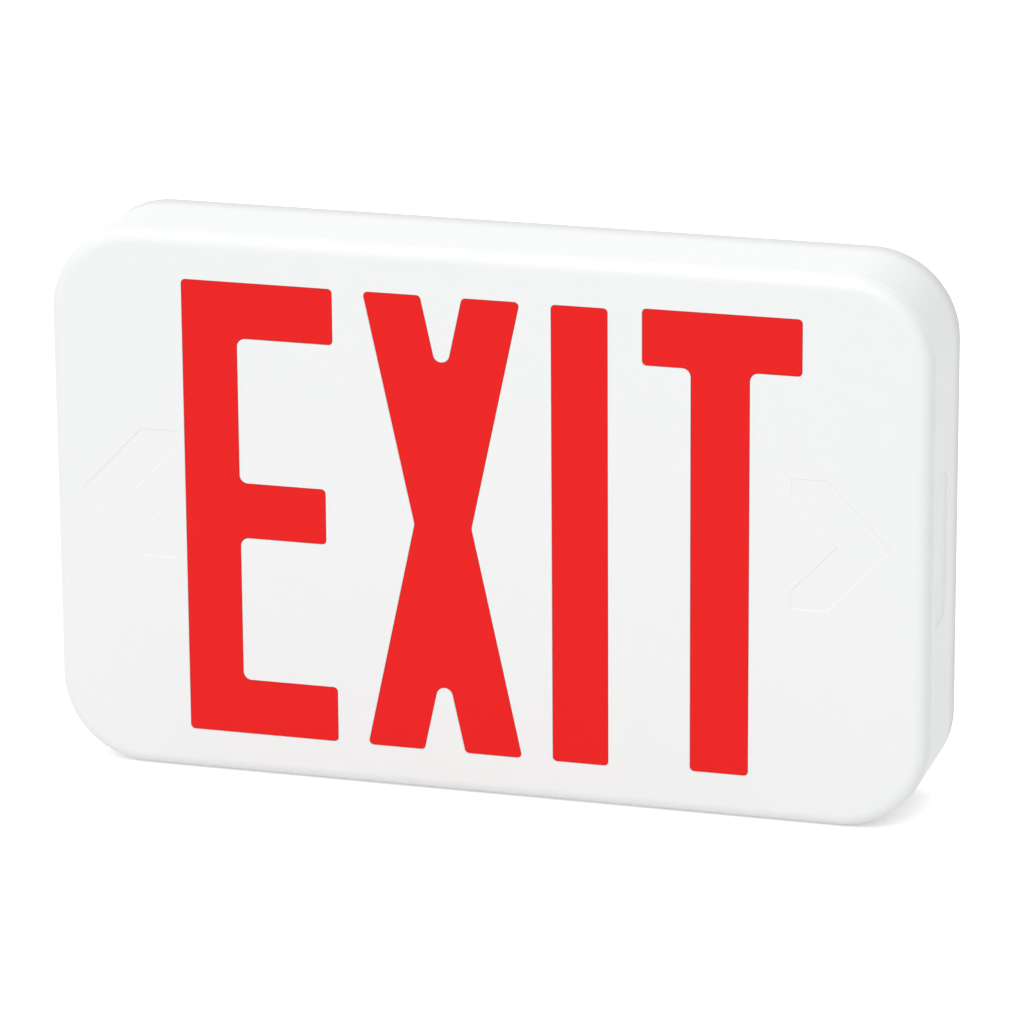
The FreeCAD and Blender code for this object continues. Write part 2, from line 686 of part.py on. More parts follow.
def make_back_plate():
    """Snap-in plate with the holes that meet a wall box, keyholes and break-out discs."""
    body = new_body("BackPlate")
    sketch = new_sketch(body, "PlateOutline", "XZ_Plane")
    outline(sketch, "housing_wall + plate_gap")
    feature(body, "Pad", sketch, "plate_thickness")

    rib_face = "housing_wall + ledge_width + 2 * plate_gap + plate_rib_width / 3"
    sketch = new_sketch(body, "PlateRib", "XZ_Plane", "plate_thickness")
    outline(sketch, rib_face)
    outline(sketch, f"{rib_face} + plate_rib_width")
    feature(body, "Pad", sketch, "plate_rib_height")

    hook_face = size("housing_wall") + size("ledge_width") + 2 * size("plate_gap")
    places = (size("plate_hook_width"), size("plate_hook_across"), size("plate_hook_up"))
    sketch = new_sketch(body, "PlateHooks", "XZ_Plane", "plate_thickness")
    fixed_rectangles(sketch, wall_rectangles(hook_face, size("plate_rib_width"), *places))
    feature(body, "Pad", sketch, "plate_hook_reach")
    sketch = new_sketch(body, "PlateBarbs", "XZ_Plane", "plate_thickness + plate_hook_reach")
    barb = size("plate_hook_barb")
    fixed_rectangles(sketch, wall_rectangles(hook_face - barb, barb, *places))
    barb_length = "plate_hook_reach - ledge_thickness - 2 * plate_gap"
    feature(body, "Pad", sketch, barb_length, reverse=True)

    keyholes = [(side * size("keyhole_across"), size("keyhole_up")) for side in SIDES]
    holes = (
        ("WireEntry", [(0, 0)], "wire_entry_radius"),
        ("OctagonScrews", spaced_pair("octagon_spacing", (1, 0)), "octagon_hole_radius"),
        ("DeviceScrews", spaced_pair("device_spacing", (0, 1)), "device_hole_radius"),
        ("KeyholeHeads", keyholes, "keyhole_head_radius"),
    )
    for name, centres, radius in holes:
        sketch = new_sketch(body, name, "XZ_Plane", "plate_thickness")
        circles(sketch, centres, radius)
        feature(body, "Pocket", sketch, "plate_thickness")
    sketch = new_sketch(body, "KeyholeSlots", "XZ_Plane", "plate_thickness")
    for x, z in keyholes:
        fixed_loop(sketch, keyhole_slot(x, z))
    feature(body, "Pocket", sketch, "plate_thickness")

    sketch = new_sketch(body, "SpareEntries", "XZ_Plane")
    spare = [(side * size("spare_entry_across"), 0) for side in SIDES]
    circles(sketch, spare, "wire_entry_radius + spare_entry_groove / 2")
    circles(sketch, spare, "wire_entry_radius - spare_entry_groove / 2")
    feature(body, "Pocket", sketch, "plate_thickness / 2", reverse=True)
    return keep(body, "back_plate")


# ---------------------------------------------------------------- lens and tray

BOARD_UNDER = "-(tray_back - standoff_height)"
BOARD_FACE = "-(tray_back - standoff_height - board_thickness)"
board_y = size("standoff_height") + size("board_thickness") - size("tray_back")


def board_corners():
    """Centres of the posts under the driver board."""
    inset = size("standoff_inset")
    columns = (size("board_left") + inset, size("board_right") - inset)
    rows = (size("board_bottom") + inset, size("board_top") - inset)
    return [(x, z) for x in columns for z in rows]


def bracket_posts():
    """Centres of the posts above and below the battery pack."""
    x = size("battery_left") + size("cell_length") / 2
    out = size("bracket_gap") + size("bracket_thickness") + size("bracket_foot") / 2
    top = size("battery_top") + out
    bottom = size("battery_top") - 3 * size("cell_diameter") - out
    return [(x, top), (x, bottom)]


LAMPS_A_BOARD = 12
LEAD_HOLES = ((60.0, 64.0), (103.0, -62.0))


def make_red_lens():
    """Red panel against the back of the face, its raised letters filling the openings."""
    body = new_body("RedLens")
    sketch = new_sketch(body, "LensOutline", "XZ_Plane", "overall_depth - face_thickness")
    outline(sketch, "lens_inset")
    feature(body, "Pad", sketch, "lens_thickness", reverse=True)
    sketch = new_sketch(body, "LensLetters", "XZ_Plane", "overall_depth - letter_step")
    for loop in letter_loops():
        fixed_loop(sketch, inset_loop(loop, size("letter_clearance")))
    feature(body, "Pad", sketch, "face_thickness - letter_step", reverse=True)
    return keep(body, "red_lens")


def make_reflector_tray():
    """White light chamber. Its back carries the driver board, the battery and their screws."""
    body = new_body("ReflectorTray")
    sketch = new_sketch(body, "TrayOutline", "XZ_Plane", "tray_back")
    outline(sketch, "tray_inset")
    feature(body, "Pad", sketch, "tray_rim - tray_back")
    sketch = new_sketch(body, "TrayInside", "XZ_Plane", "tray_rim")
    outline(sketch, "tray_inset + tray_wall")
    feature(body, "Pocket", sketch, "tray_rim - tray_back - tray_wall")

    for name, centres, radius, depth in (
        ("TrayScrewHoles", TRAY_SCREWS, "tray_screw_radius + 3 * screw_gap", "tray_wall"),
        ("LeadHoles", LEAD_HOLES, "lead_hole_radius", "tray_wall"),
    ):
        sketch = new_sketch(body, name, "XZ_Plane", "tray_back + tray_wall")
        circles(sketch, centres, radius)
        feature(body, "Pocket", sketch, depth)

    posts = (
        ("Standoffs", board_corners(), "standoff_radius", "standoff_height", "board_screw_radius"),
        ("BracketPosts", bracket_posts(), "bracket_post_radius", "bracket_post_height",
         "bracket_screw_radius"),
    )
    for name, centres, radius, height, screw in posts:
        sketch = new_sketch(body, name, "XZ_Plane", "tray_back")
        circles(sketch, centres, radius)
        feature(body, "Pad", sketch, height, reverse=True)
        sketch = new_sketch(body, f"{name}Pilots", "XZ_Plane", f"tray_back - {height}")
        circles(sketch, centres, f"{screw} + screw_gap")
        feature(body, "Pocket", sketch, f"{height} - 0.5", reverse=True)

    sketch = new_sketch(body, "BoardClips", "XZ_Plane", "led_board_front + clip_thickness")
    inner = size("tray_inset") + size("tray_wall")
    across = size("led_pitch") * 4
    clips = []
    for side in SIDES:
        edge = side * (half_height - inner)
        low, high = sorted((edge + side * 0.5, edge - side * size("clip_reach")))
        for x in (-across, 0, across):
            clips.append((x - size("clip_width") / 2, low, x + size("clip_width") / 2, high))
    fixed_rectangles(sketch, clips)
    feature(body, "Pad", sketch, "clip_thickness", reverse=True)
    sketch = new_sketch(body, "BoardShelf", "XZ_Plane", "led_board_front - led_board_width")
    fixed_rectangles(sketch, clips)
    feature(body, "Pad", sketch, "clip_thickness", reverse=True)
    return keep(body, "reflector_tray")


# ---------------------------------------------------------------- screws


def pan_screw(place, radius, head_radius, head_height, length):
    """A pan head screw whose head sits on a face at place and whose shank runs to +Y or -Y.

    place is (x, y, z, way), way being 1 where the shank runs to +Y.
    """
    x, y, z, way = place
    seat = Vector(x, y, z)
    out = Vector(0, -way, 0)
    head = Part.makeCylinder(head_radius, head_height, seat, out)
    top = seat + out * head_height
    rim = [edge for edge in head.Edges if edge.CenterOfMass.distanceToPoint(top) < 1e-6]
    head = head.makeFillet(head_height * 0.45, rim)
    arm, slot, sink = head_radius * 0.62, head_radius * 0.12, head_height * 0.5
    for wide, high in ((arm, slot), (slot, arm)):
        corner = top - Vector(wide, 0, high) + Vector(0, -sink if way < 0 else 0, 0)
        recess = Part.makeBox(2 * wide, sink, 2 * high, corner)
        head = head.cut(recess)
    shank = Part.makeCylinder(radius, length, seat, out * -1)
    return head.fuse(shank)


def make_screws(node, centres, y, way, kind):
    """One group of equal screws, sized by the sheet's KIND_screw values."""
    names = ("radius", "head_radius", "head_height", "length")
    sizes = [size(f"{kind}_screw_{name}") for name in names]
    screws = [pan_screw((x, y, z, way), *sizes) for x, z in centres]
    return keep(solid_feature(f"{kind.title()}Screws", Part.makeCompound(screws)), node)


# ---------------------------------------------------------------- lamp boards


def make_lamp_board(side, place):
    """A narrow board against the tray's top or bottom wall, and its row of lamps."""
    wall = f"{side} * (overall_height / 2 - tray_inset - tray_wall)"
    skin = f"({wall} - {side} * led_board_thickness)"
    under, over = (skin, wall) if side > 0 else (wall, skin)
    front, back = "-led_board_front", "led_board_width - led_board_front"
    low = ("-led_board_length / 2", front, under)
    high = ("led_board_length / 2", back, over)
    keep(block(f"LampBoard{place}", low, high), f"led_board_{place}")

    lamps = []
    tip = f"({skin} - {side} * led_height)"
    under, over = (tip, skin) if side > 0 else (skin, tip)
    middle = "led_board_width / 2 - led_board_front"
    for index in range(LAMPS_A_BOARD):
        x = f"{index - (LAMPS_A_BOARD - 1) / 2} * led_pitch"
        low = (f"{x} - led_length / 2", f"{middle} - led_length / 2", under)
        high = (f"{x} + led_length / 2", f"{middle} + led_length / 2", over)
        lamps.append(block(f"Lamp{place}{index:02d}", low, high))
    keep(group(f"Lamps{place}", lamps), f"leds_{place}")


# ---------------------------------------------------------------- driver board

# Boxes: left and bottom edges from the board's lower left corner, sizes along X and Z, height.
FILM_CAPACITOR = (52.0, 43.5, 18.0, 8.5, 10.2)
BRIDGE = (36.0, 29.5, 8.0, 6.5, 3.0)
CHIP = (32.0, 13.5, 9.5, 6.4, 3.3)
TRANSISTOR = (98.0, 15.5, 8.0, 3.2, 10.0)
BATTERY_HEADER = (3.0, 23.5, 7.0, 8.0, 5.8)
LAMP_HEADERS = ((71.5, 48.5, 5.0, 6.0, 5.5), (87.5, 48.5, 5.0, 6.0, 5.5))
TERMINAL_BLOCK = (14.0, 45.0, 15.0, 8.5, 10.0)
CORE = (52.0, 26.5, 14.0, 6.0, 10.4)

# Cylinders: centre across and up from the same corner, radius, height.
CANS = ((78.0, 33.5, 4.0, 10.0), (89.0, 33.5, 4.0, 10.0), (100.0, 34.5, 3.15, 9.0))
FUSE = (45.0, 48.0, 4.25, 8.0)

# The same corner to the disc's left face and middle, then thickness, radius and leg.
VARISTOR = (34.0, 47.5, 4.0, 5.0, 0.5)

BODY_LIFT = 0.5
BRIDGE_PINS = (1.4, 6.6)
CHIP_PINS = (0.94, 3.48, 6.02, 8.56)
PIN_WIDTH = 0.6
PIN_THICKNESS = 0.3
PIN_SPREAD = 0.8
PLUG_STEP = 0.5
BATTERY_PLUG = 3.0
LAMP_PLUG = 2.6
CRIMP_HEIGHT = 1.6
TERMINAL_WELL_DEPTH = 3.0
CORE_LIMB = 2.0
WINDING_LENGTH = 14.0
BOBBIN_FLANGE = 1.0


def standing(name, left, bottom, wide, high, tall, lift=0.0):
    """A box on the driver board's component side, placed from the board's lower left corner."""
    low = (f"board_left + {left}", f"{BOARD_FACE} + {lift}", f"board_bottom + {bottom}")
    high = (f"{low[0]} + {wide}", f"{BOARD_FACE} + {tall}", f"{low[2]} + {high}")
    return block(name, low, high)


def upright(name, across, up, radius, tall, lift=0.0):
    """A cylinder on the driver board's component side."""
    base = (f"board_left + {across}", f"{BOARD_FACE} + {lift}", f"board_bottom + {up}")
    return rod(name, base, "y", str(radius), str(tall - lift))


def rolled(name, base, tall, radius):
    """The same solid with a round along its outer rim."""
    return eased(f"{name}Rim", "Fillet", base, radius, at_depth(-board_y - tall))


def pins(name, place, columns):
    """Flat legs that leave a moulded body at mid height on both sides and turn to the board."""
    left, bottom, _, high, tall = place
    shoulder = (BODY_LIFT + tall) / 2
    made = []
    for column, across in enumerate(columns):
        x = left + across - PIN_WIDTH / 2
        for side, inner, outer in (
            ("Low", bottom + PIN_SPREAD, bottom - PIN_SPREAD),
            ("High", bottom + high - PIN_SPREAD, bottom + high + PIN_SPREAD),
        ):
            near = min(inner, outer)
            foot = outer if side == "Low" else outer - PIN_THICKNESS
            arm = (x, near, PIN_WIDTH, 2 * PIN_SPREAD, shoulder + PIN_THICKNESS, shoulder)
            made.append(standing(f"{name}Arm{side}{column}", *arm))
            leg = (x, foot, PIN_WIDTH, PIN_THICKNESS, shoulder + PIN_THICKNESS)
            made.append(standing(f"{name}Leg{side}{column}", *leg))
    return made


def plugged_header(name, place, plug, upward):
    """A side-entry header with its plug and latch, open to the left or up the board."""
    left, bottom, wide, high, tall = place
    if upward:
        shell = (left, bottom, wide, high - plug)
        nose = (left + PLUG_STEP, bottom + high - plug, wide - 2 * PLUG_STEP, plug)
        latch = (left + wide / 2 - 1, bottom + high - 1.5 * plug, 2, plug)
    else:
        shell = (left + plug, bottom, wide - plug, high)
        nose = (left, bottom + PLUG_STEP, plug, high - 2 * PLUG_STEP)
        latch = (left + plug / 2, bottom + high / 2 - 1, plug, 2)
    members = [
        standing(f"{name}Shell", *shell, tall),
        standing(f"{name}Plug", *nose, tall - PLUG_STEP, PLUG_STEP),
        standing(f"{name}Latch", *latch, tall, tall - 2 * PLUG_STEP),
    ]
    return fuse(name, members)


def make_driver_board():
    body = new_body("DriverBoard")
    sketch = new_sketch(body, "BoardOutline", "XZ_Plane", f"-({BOARD_FACE})")
    left, right, bottom, top = (
        size(f"board_{edge}") for edge in ("left", "right", "bottom", "top")
    )
    fixed_rectangles(sketch, [(left, bottom, right, top)])
    feature(body, "Pad", sketch, "board_thickness")
    sketch = new_sketch(body, "BoardHoles", "XZ_Plane", f"-({BOARD_UNDER})")
    circles(sketch, board_corners(), "board_screw_radius + 3 * screw_gap")
    feature(body, "Pocket", sketch, "board_thickness")
    return keep(body, "driver_board")


def make_capacitors():
    """Film capacitor in a box, and three cans crimped round their rubber seals."""
    case = standing("FilmCase", *FILM_CAPACITOR)
    film = eased("FilmCapacitor", "Fillet", case, 0.8, behind(-board_y))
    keep(film, "film_capacitor")

    cans = []
    for index, (across, up, radius, tall) in enumerate(CANS):
        can = rolled(f"Can{index}", upright(f"Can{index}", across, up, radius, tall), tall, 0.5)
        crimp = doc.addObject("Part::Torus", f"Can{index}Crimp")
        crimp.Radius1 = radius + 0.25
        crimp.Radius2 = 0.55
        crimp.Placement.Rotation = ALONG["y"]
        bind(crimp, "Placement.Base.x", f"board_left + {across}")
        bind(crimp, "Placement.Base.y", f"{BOARD_FACE} + {CRIMP_HEIGHT}")
        bind(crimp, "Placement.Base.z", f"board_bottom + {up}")
        cans.append(cut(f"Can{index}Body", can, crimp))
    keep(group("Electrolytics", cans), "electrolytic_capacitors")


def make_protection():
    """Radial fuse with its flange, and a dipped disc varistor on two legs."""
    across, up, radius, tall = FUSE
    cap = rolled("FuseCap", upright("FuseCap", across, up, radius - 0.35, tall), tall, 0.6)
    keep(fuse("Fuse", [cap, upright("FuseFlange", across, up, radius, 1.2)]), "fuse")

    left, up, thick, radius, leg = VARISTOR
    lift = radius + leg
    base = (f"board_left + {left}", f"{BOARD_FACE} + {lift}", f"board_bottom + {up}")
    disc = rod("VaristorDisc", base, "x", str(radius), str(thick))
    disc = eased("VaristorDip", "Fillet", disc, 1.4, lambda edge: edge.Length > 2 * radius)
    middle = left + thick / 2 - leg / 2
    spread = radius / 2
    legs = [
        standing(f"VaristorLeg{index}", middle, up + side * spread, leg, leg, 2 * leg + 1)
        for index, side in enumerate(SIDES)
    ]
    keep(fuse("Varistor", [disc, *legs]), "surge_varistor")


def make_semiconductors():
    """Bridge with one cut corner, chip with an end notch, and a bored transistor on three legs."""
    left, bottom, _, high, _ = BRIDGE
    case = standing("BridgeCase", *BRIDGE, BODY_LIFT)
    corner = Vector(size("board_left") + left, 0, size("board_bottom") + bottom + high)

    def at_corner(edge):
        middle = edge.CenterOfMass
        return math.hypot(middle.x - corner.x, middle.z - corner.z) < 1e-3

    case = eased("BridgeBody", "Chamfer", case, 1.2, at_corner)
    keep(fuse("Bridge", [case, *pins("Bridge", BRIDGE, BRIDGE_PINS)]), "bridge_rectifier")

    left, bottom, _, high, tall = CHIP
    case = standing("ChipCase", *CHIP, BODY_LIFT)
    case = eased("ChipBody", "Chamfer", case, 0.35, at_depth(-board_y - tall))
    notch = upright("ChipNotch", left, bottom + high / 2, 0.9, tall + 1, tall - 0.4)
    body = cut("ChipNotched", case, notch)
    keep(fuse("Chip", [body, *pins("Chip", CHIP, CHIP_PINS)]), "control_chip")

    left, bottom, wide, high, tall = TRANSISTOR
    lift = 3 * BODY_LIFT
    case = standing("TransistorCase", *TRANSISTOR, lift)
    case = eased("TransistorBody", "Chamfer", case, 0.4, at_depth(-board_y - tall))
    base = (
        f"board_left + {left + wide / 2}",
        f"{BOARD_FACE} + {tall - wide * 0.4}",
        f"board_bottom + {bottom - 1}",
    )
    body = cut("TransistorBored", case, rod("TransistorHole", base, "z", "1.6", str(high + 2)))
    legs = [
        standing(f"TransistorLeg{index}", left + across, bottom + high * 0.6, 0.8, 0.5, lift + 1)
        for index, across in enumerate((1.3, 3.6, 5.9))
    ]
    keep(fuse("Transistor", [body, *legs]), "charge_transistor")


def make_headers():
    """Plugged headers of the battery leads and of the two lamp board leads."""
    keep(plugged_header("BatteryHeader", BATTERY_HEADER, BATTERY_PLUG, False), "battery_connector")
    headers = [
        plugged_header(f"LampHeader{index}", place, LAMP_PLUG, True)
        for index, place in enumerate(LAMP_HEADERS)
    ]
    keep(group("LampHeaders", headers), "led_connectors")


def make_transformer():
    """Ferrite core through a taped winding whose bobbin flanges stand on the board."""
    left, bottom, wide, high, tall = CORE
    ring = standing("CoreBlock", *CORE)
    window = (left + CORE_LIMB, bottom - 1, wide - 2 * CORE_LIMB, high + 2)
    slot = standing("CoreWindow", *window, tall - CORE_LIMB, CORE_LIMB)
    keep(cut("Core", ring, slot), "transformer_core")
    start = bottom + high / 2 - WINDING_LENGTH / 2
    coil = (window[0], start, window[2], WINDING_LENGTH, tall - CORE_LIMB, CORE_LIMB)
    lengthwise = standing("Coil", *coil)
    taped = eased(
        "Winding", "Fillet", lengthwise, 1.2, lambda edge: abs(edge.Length - WINDING_LENGTH) < 1e-3
    )
    ends = (start, start + WINDING_LENGTH - BOBBIN_FLANGE)
    flanges = [
        standing(f"BobbinFlange{index}", window[0] - 1, end, window[2] + 2, BOBBIN_FLANGE, 9.2)
        for index, end in enumerate(ends)
    ]
    keep(fuse("Bobbin", [taped, *flanges]), "transformer_winding")


def make_supply_terminals():
    """Three-way clamp block with a well over each screw and a wire mouth under it."""
    left, bottom, wide, high, tall = TERMINAL_BLOCK
    case = standing("TerminalCase", *TERMINAL_BLOCK)
    floor = tall - TERMINAL_WELL_DEPTH
    spaces, screws = [], []
    for index in range(3):
        across = left + wide * (index + 0.5) / 3
        up = bottom + high / 2
        thread = "terminal_screw_radius + screw_gap"
        spaces.append(upright(f"TerminalWell{index}", across, up, 1.9, tall + 2, floor))
        spaces.append(upright(f"TerminalThread{index}", across, up, thread, floor + 1, 2))
        mouth = (across - 1.8, bottom + high - 2.6, 3.6, 4, 4.6, 1.2)
        spaces.append(standing(f"TerminalMouth{index}", *mouth))
        screws.append((size("board_left") + across, size("board_bottom") + up))
    case = eased("TerminalShell", "Chamfer", case, 0.6, at_depth(-board_y - tall))
    keep(cut("Terminals", case, fuse("TerminalSpaces", spaces)), "supply_terminals")
    make_screws("terminal_screws", screws, board_y + floor, -1, "terminal")


# ---------------------------------------------------------------- battery


def make_battery():
    """Three cells in a tight sleeve, and the bracket that straps them to the tray."""
    cells = []
    for index in range(3):
        up = f"battery_top - {index + 0.5} * cell_diameter"
        base = ("battery_left", "cell_diameter / 2 - tray_back", up)
        cells.append(rod(f"Cell{index}", base, "x", "cell_diameter / 2", "cell_length"))
    low = ("battery_left", "-tray_back", "battery_top - 2.5 * cell_diameter")
    high = (
        "battery_left + cell_length",
        "cell_diameter - tray_back",
        "battery_top - cell_diameter / 2",
    )
    sleeve = block("Sleeve", low, high)
    keep(fuse("Battery", [*cells, sleeve]), "battery_pack")

    left = "battery_left + (cell_length - bracket_width) / 2"
    right = f"{left} + bracket_width"
    foot_y = "bracket_post_height - tray_back"
    over = "cell_diameter + bracket_gap - tray_back"
    inner_top = "battery_top + bracket_gap"
    inner_bottom = "battery_top - 3 * cell_diameter - bracket_gap"
    strap = block(
        "StrapOver",
        (left, over, f"{inner_bottom} - bracket_thickness"),
        (right, f"{over} + bracket_thickness", f"{inner_top} + bracket_thickness"),
    )
    members = [strap]
    for name, face, side in (("Upper", inner_top, 1), ("Lower", inner_bottom, -1)):
        out = f"({face} + {side} * bracket_thickness)"
        end = f"({out} + {side} * bracket_foot)"
        near, far = (face, out) if side > 0 else (out, face)
        members.append(block(f"StrapLeg{name}", (left, foot_y, near), (right, over, far)))
        near, far = (out, end) if side > 0 else (end, out)
        thick = f"{foot_y} + bracket_thickness"
        members.append(block(f"StrapFoot{name}", (left, foot_y, near), (right, thick, far)))
    holes = []
    clearance = "bracket_screw_radius + 3 * screw_gap"
    for index, (x, z) in enumerate(bracket_posts()):
        base = (str(x), f"{foot_y} - 1", str(z))
        holes.append(rod(f"StrapHole{index}", base, "y", clearance, "4"))
    bracket = cut("Bracket", fuse("Strap", members), fuse("StrapHoles", holes))
    keep(bracket, "battery_bracket")
    seat = size("bracket_post_height") + size("bracket_thickness") - size("tray_back")
    make_screws("bracket_screws", bracket_posts(), seat, -1, "bracket")


# ---------------------------------------------------------------- test switch and status light

FLOOR_INSIDE = "(housing_wall - overall_height / 2)"
FLANGE_FACE = f"({FLOOR_INSIDE} + button_gap)"


def make_test_switch():
    """Button in the housing's floor, the plunger it pushes and the case on the driver board."""
    axis = ("button_across", "-switch_axis")
    stem_foot = "button_recess - overall_height / 2"
    length = f"{FLANGE_FACE} - ({stem_foot})"
    stem = rod("ButtonStem", (*axis, stem_foot), "z", "button_radius", length)
    base = (*axis, FLANGE_FACE)
    flange = rod("ButtonFlange", base, "z", "button_flange_radius", "button_flange_height")
    keep(fuse("Button", [stem, flange]), "test_button")
    top = f"({FLANGE_FACE} + button_flange_height)"
    keep(rod("Plunger", (*axis, top), "z", "plunger_radius", "plunger_length"), "switch_plunger")

    foot = "board_bottom - switch_overhang"
    low = ("button_across - switch_size / 2", BOARD_FACE, foot)
    high = (
        "button_across + switch_size / 2",
        f"{BOARD_FACE} + switch_size",
        f"{foot} + switch_size",
    )
    bore = rod("SwitchBore", (*axis, foot), "z", "plunger_bore_radius", "plunger_bore_depth")
    keep(cut("Switch", block("SwitchBlock", low, high), bore), "switch_case")


def make_status_light():
    """Round-tipped lamp in the housing's floor, its legs bent over to the driver board."""
    axis = ("light_across", "-switch_axis")
    tip = "light_recess - overall_height / 2"
    shoulder = f"({tip} + light_radius)"
    back = f"({tip} + light_length)"
    dome = doc.addObject("Part::Sphere", "LightDome")
    bind(dome, "Radius", "light_radius")
    for letter, expression in zip("xyz", (*axis, shoulder)):
        bind(dome, f"Placement.Base.{letter}", expression)
    stem = rod("LightStem", (*axis, shoulder), "z", "light_radius", f"{back} - {shoulder}")
    base = (*axis, f"{back} - 1")
    members = [dome, stem, rod("LightFlange", base, "z", "light_flange_radius", "1")]
    bend = f"({back} + light_leg_length)"
    for side in SIDES:
        middle = f"light_across + {side} * light_leg_spacing / 2"
        near, far = f"{middle} - light_leg / 2", f"{middle} + light_leg / 2"
        front, rear = "-switch_axis - light_leg / 2", "-switch_axis + light_leg / 2"
        members.append(block(f"LightLeg{side}", (near, front, back), (far, rear, bend)))
        low = (near, BOARD_FACE, f"{bend} - light_leg")
        members.append(block(f"LightFoot{side}", low, (far, front, bend)))
    keep(fuse("Light", members), "status_light")


# ---------------------------------------------------------------- inner leads


def lead(node, points, diameter):
    """A lead of straight runs joined by tangent arcs, as large as the shorter run allows."""
    points = [Vector(*point) for point in points]
    radii = []
    edges = []
    start = points[0]
    for before, here, after in zip(points, points[1:], points[2:]):
        back = before - here
        on = after - here
        turn = math.pi - back.getAngle(on)
        tangent = 0.45 * min(back.Length, on.Length)
        radius = tangent / math.tan(turn / 2)
        entry = here + back.normalize() * tangent
        leave = here + on.normalize() * tangent
        toward = (back + on).normalize()
        middle = here + toward * (radius / math.cos(turn / 2) - radius)
        edges.append(Part.LineSegment(start, entry).toShape())
        edges.append(Part.Arc(entry, middle, leave).toShape())
        start = leave
        radii.append(radius)
    edges.append(Part.LineSegment(start, points[-1]).toShape())
    path = Part.Wire(edges)
    profile = Part.Wire(Part.makeCircle(diameter / 2, points[0], points[1] - points[0]))
    tube = path.makePipeShell([profile], True, False)
    expected = math.pi * diameter**2 / 4 * path.Length
    share = tube.Volume / expected
    print(f"{node}: {path.Length:.1f} long, radii {[round(r, 1) for r in radii]}, volume {share:.4f}")
    return keep(solid_feature(node.title().replace("_", ""), tube), node)


# Node, cell it leaves, height up the header, height of its bend between the two.
BATTERY_LEADS = (("battery_lead_red", 0.5, 6.0, -44.0), ("battery_lead_black", 2.5, 2.0, -62.0))
BATTERY_LEAD_STRAIGHT = 13.0
BATTERY_LEAD_BEND = (25.0, -12.5)

# Bends after the header: X and Z from the header's mouth, and Y.
TOP_LEAD_BENDS = ((0, 15, -11.65), (-3, 35, -16), (-4, 63, -17.5))
BOTTOM_LEAD_BENDS = ((0, 13, -11.65), (14, 21, -13), (28, 11, -15), (29, -13, -17))


def make_leads():
    """Battery leads to their header, and a twin lead to each lamp board through the tray."""
    left, bottom, _, _, tall = BATTERY_HEADER
    header_x, header_z = size("board_left") + left, size("board_bottom") + bottom
    header_y = board_y + tall / 2
    battery_x = size("battery_left") + size("cell_length")
    battery_y = size("cell_diameter") / 2 - size("tray_back")
    bend_x, bend_y = BATTERY_LEAD_BEND
    for node, cell, header_up, bend_z in BATTERY_LEADS:
        z = size("battery_top") - cell * size("cell_diameter")
        end_z = header_z + header_up
        route = (
            (battery_x, battery_y, z),
            (battery_x + BATTERY_LEAD_STRAIGHT, battery_y, z),
            (battery_x + bend_x, bend_y, bend_z),
            (header_x - BATTERY_LEAD_STRAIGHT, header_y, end_z),
            (header_x, header_y, end_z),
        )
        lead(node, route, size("lead_diameter"))

    lamp_y = size("led_board_width") / 2 - size("led_board_front")
    inner = half_height - size("tray_inset") - size("tray_wall") - size("led_board_thickness")
    for node, place, bends, (hole_x, hole_z), board_z in (
        ("led_lead_top", LAMP_HEADERS[0], TOP_LEAD_BENDS, LEAD_HOLES[0], inner),
        ("led_lead_bottom", LAMP_HEADERS[1], BOTTOM_LEAD_BENDS, LEAD_HOLES[1], -inner),
    ):
        left, bottom, wide, high, tall = place
        mouth_x = size("board_left") + left + wide / 2
        mouth_z = size("board_bottom") + bottom + high
        behind_tray = bends[-1][2]
        route = [(mouth_x, board_y + tall / 2, mouth_z)]
        route += [(mouth_x + x, y, mouth_z + z) for x, z, y in bends]
        route += [(hole_x, behind_tray, hole_z), (hole_x, lamp_y, hole_z)]
        route.append((hole_x, lamp_y, board_z))
        lead(node, route, size("twin_lead_diameter"))


# ---------------------------------------------------------------- the whole sign


def check_and_export():
    """Stops on any failed object, then writes each sub-part to its own file."""
    doc.recompute()
    for obj in doc.Objects:
        if "Invalid" in obj.State or "Error" in obj.State:
            raise RuntimeError(f"{obj.Name} failed: {obj.State}")
    for obj in parts:
        if obj.Shape.isNull() or not obj.Shape.isValid() or not obj.Shape.Solids:
            raise RuntimeError(f"{obj.Label} has no valid shape")
    os.makedirs("parts", exist_ok=True)
    for obj in parts:
        obj.Shape.exportStep(f"parts/{obj.Label}.step")
        box = obj.Shape.optimalBoundingBox()
        limits = [round(v, 2) for v in (box.XMin, box.XMax, box.YMin, box.YMax, box.ZMin, box.ZMax)]
        print(f"{obj.Label}: {len(obj.Shape.Solids)} solid, {obj.Shape.Volume:.0f} mm3, {limits}")


make_face_cover()
make_red_lens()
make_housing()
make_back_plate()
make_reflector_tray()
tray_floor = -(size("tray_back") + size("tray_wall"))
make_screws("tray_screws", TRAY_SCREWS, tray_floor, 1, "tray")
make_lamp_board(1, "top")
make_lamp_board(-1, "bottom")
make_driver_board()
make_screws("board_screws", board_corners(), board_y, -1, "board")
make_capacitors()
make_protection()
make_semiconductors()
make_headers()
make_transformer()
make_supply_terminals()
make_battery()
make_test_switch()
make_status_light()
make_leads()
check_and_export()
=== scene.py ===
"""Looks of a moulded emergency exit light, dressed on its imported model.

Metres, +Z up, the legend faces -Y and the wall plane is Y = 0. After the camera, the sections
follow the sign from the room to the wall: cover, lens, tray, lamps, driver board and its parts,
battery and leads, switch and status light, back plate. The studio comes last.
"""

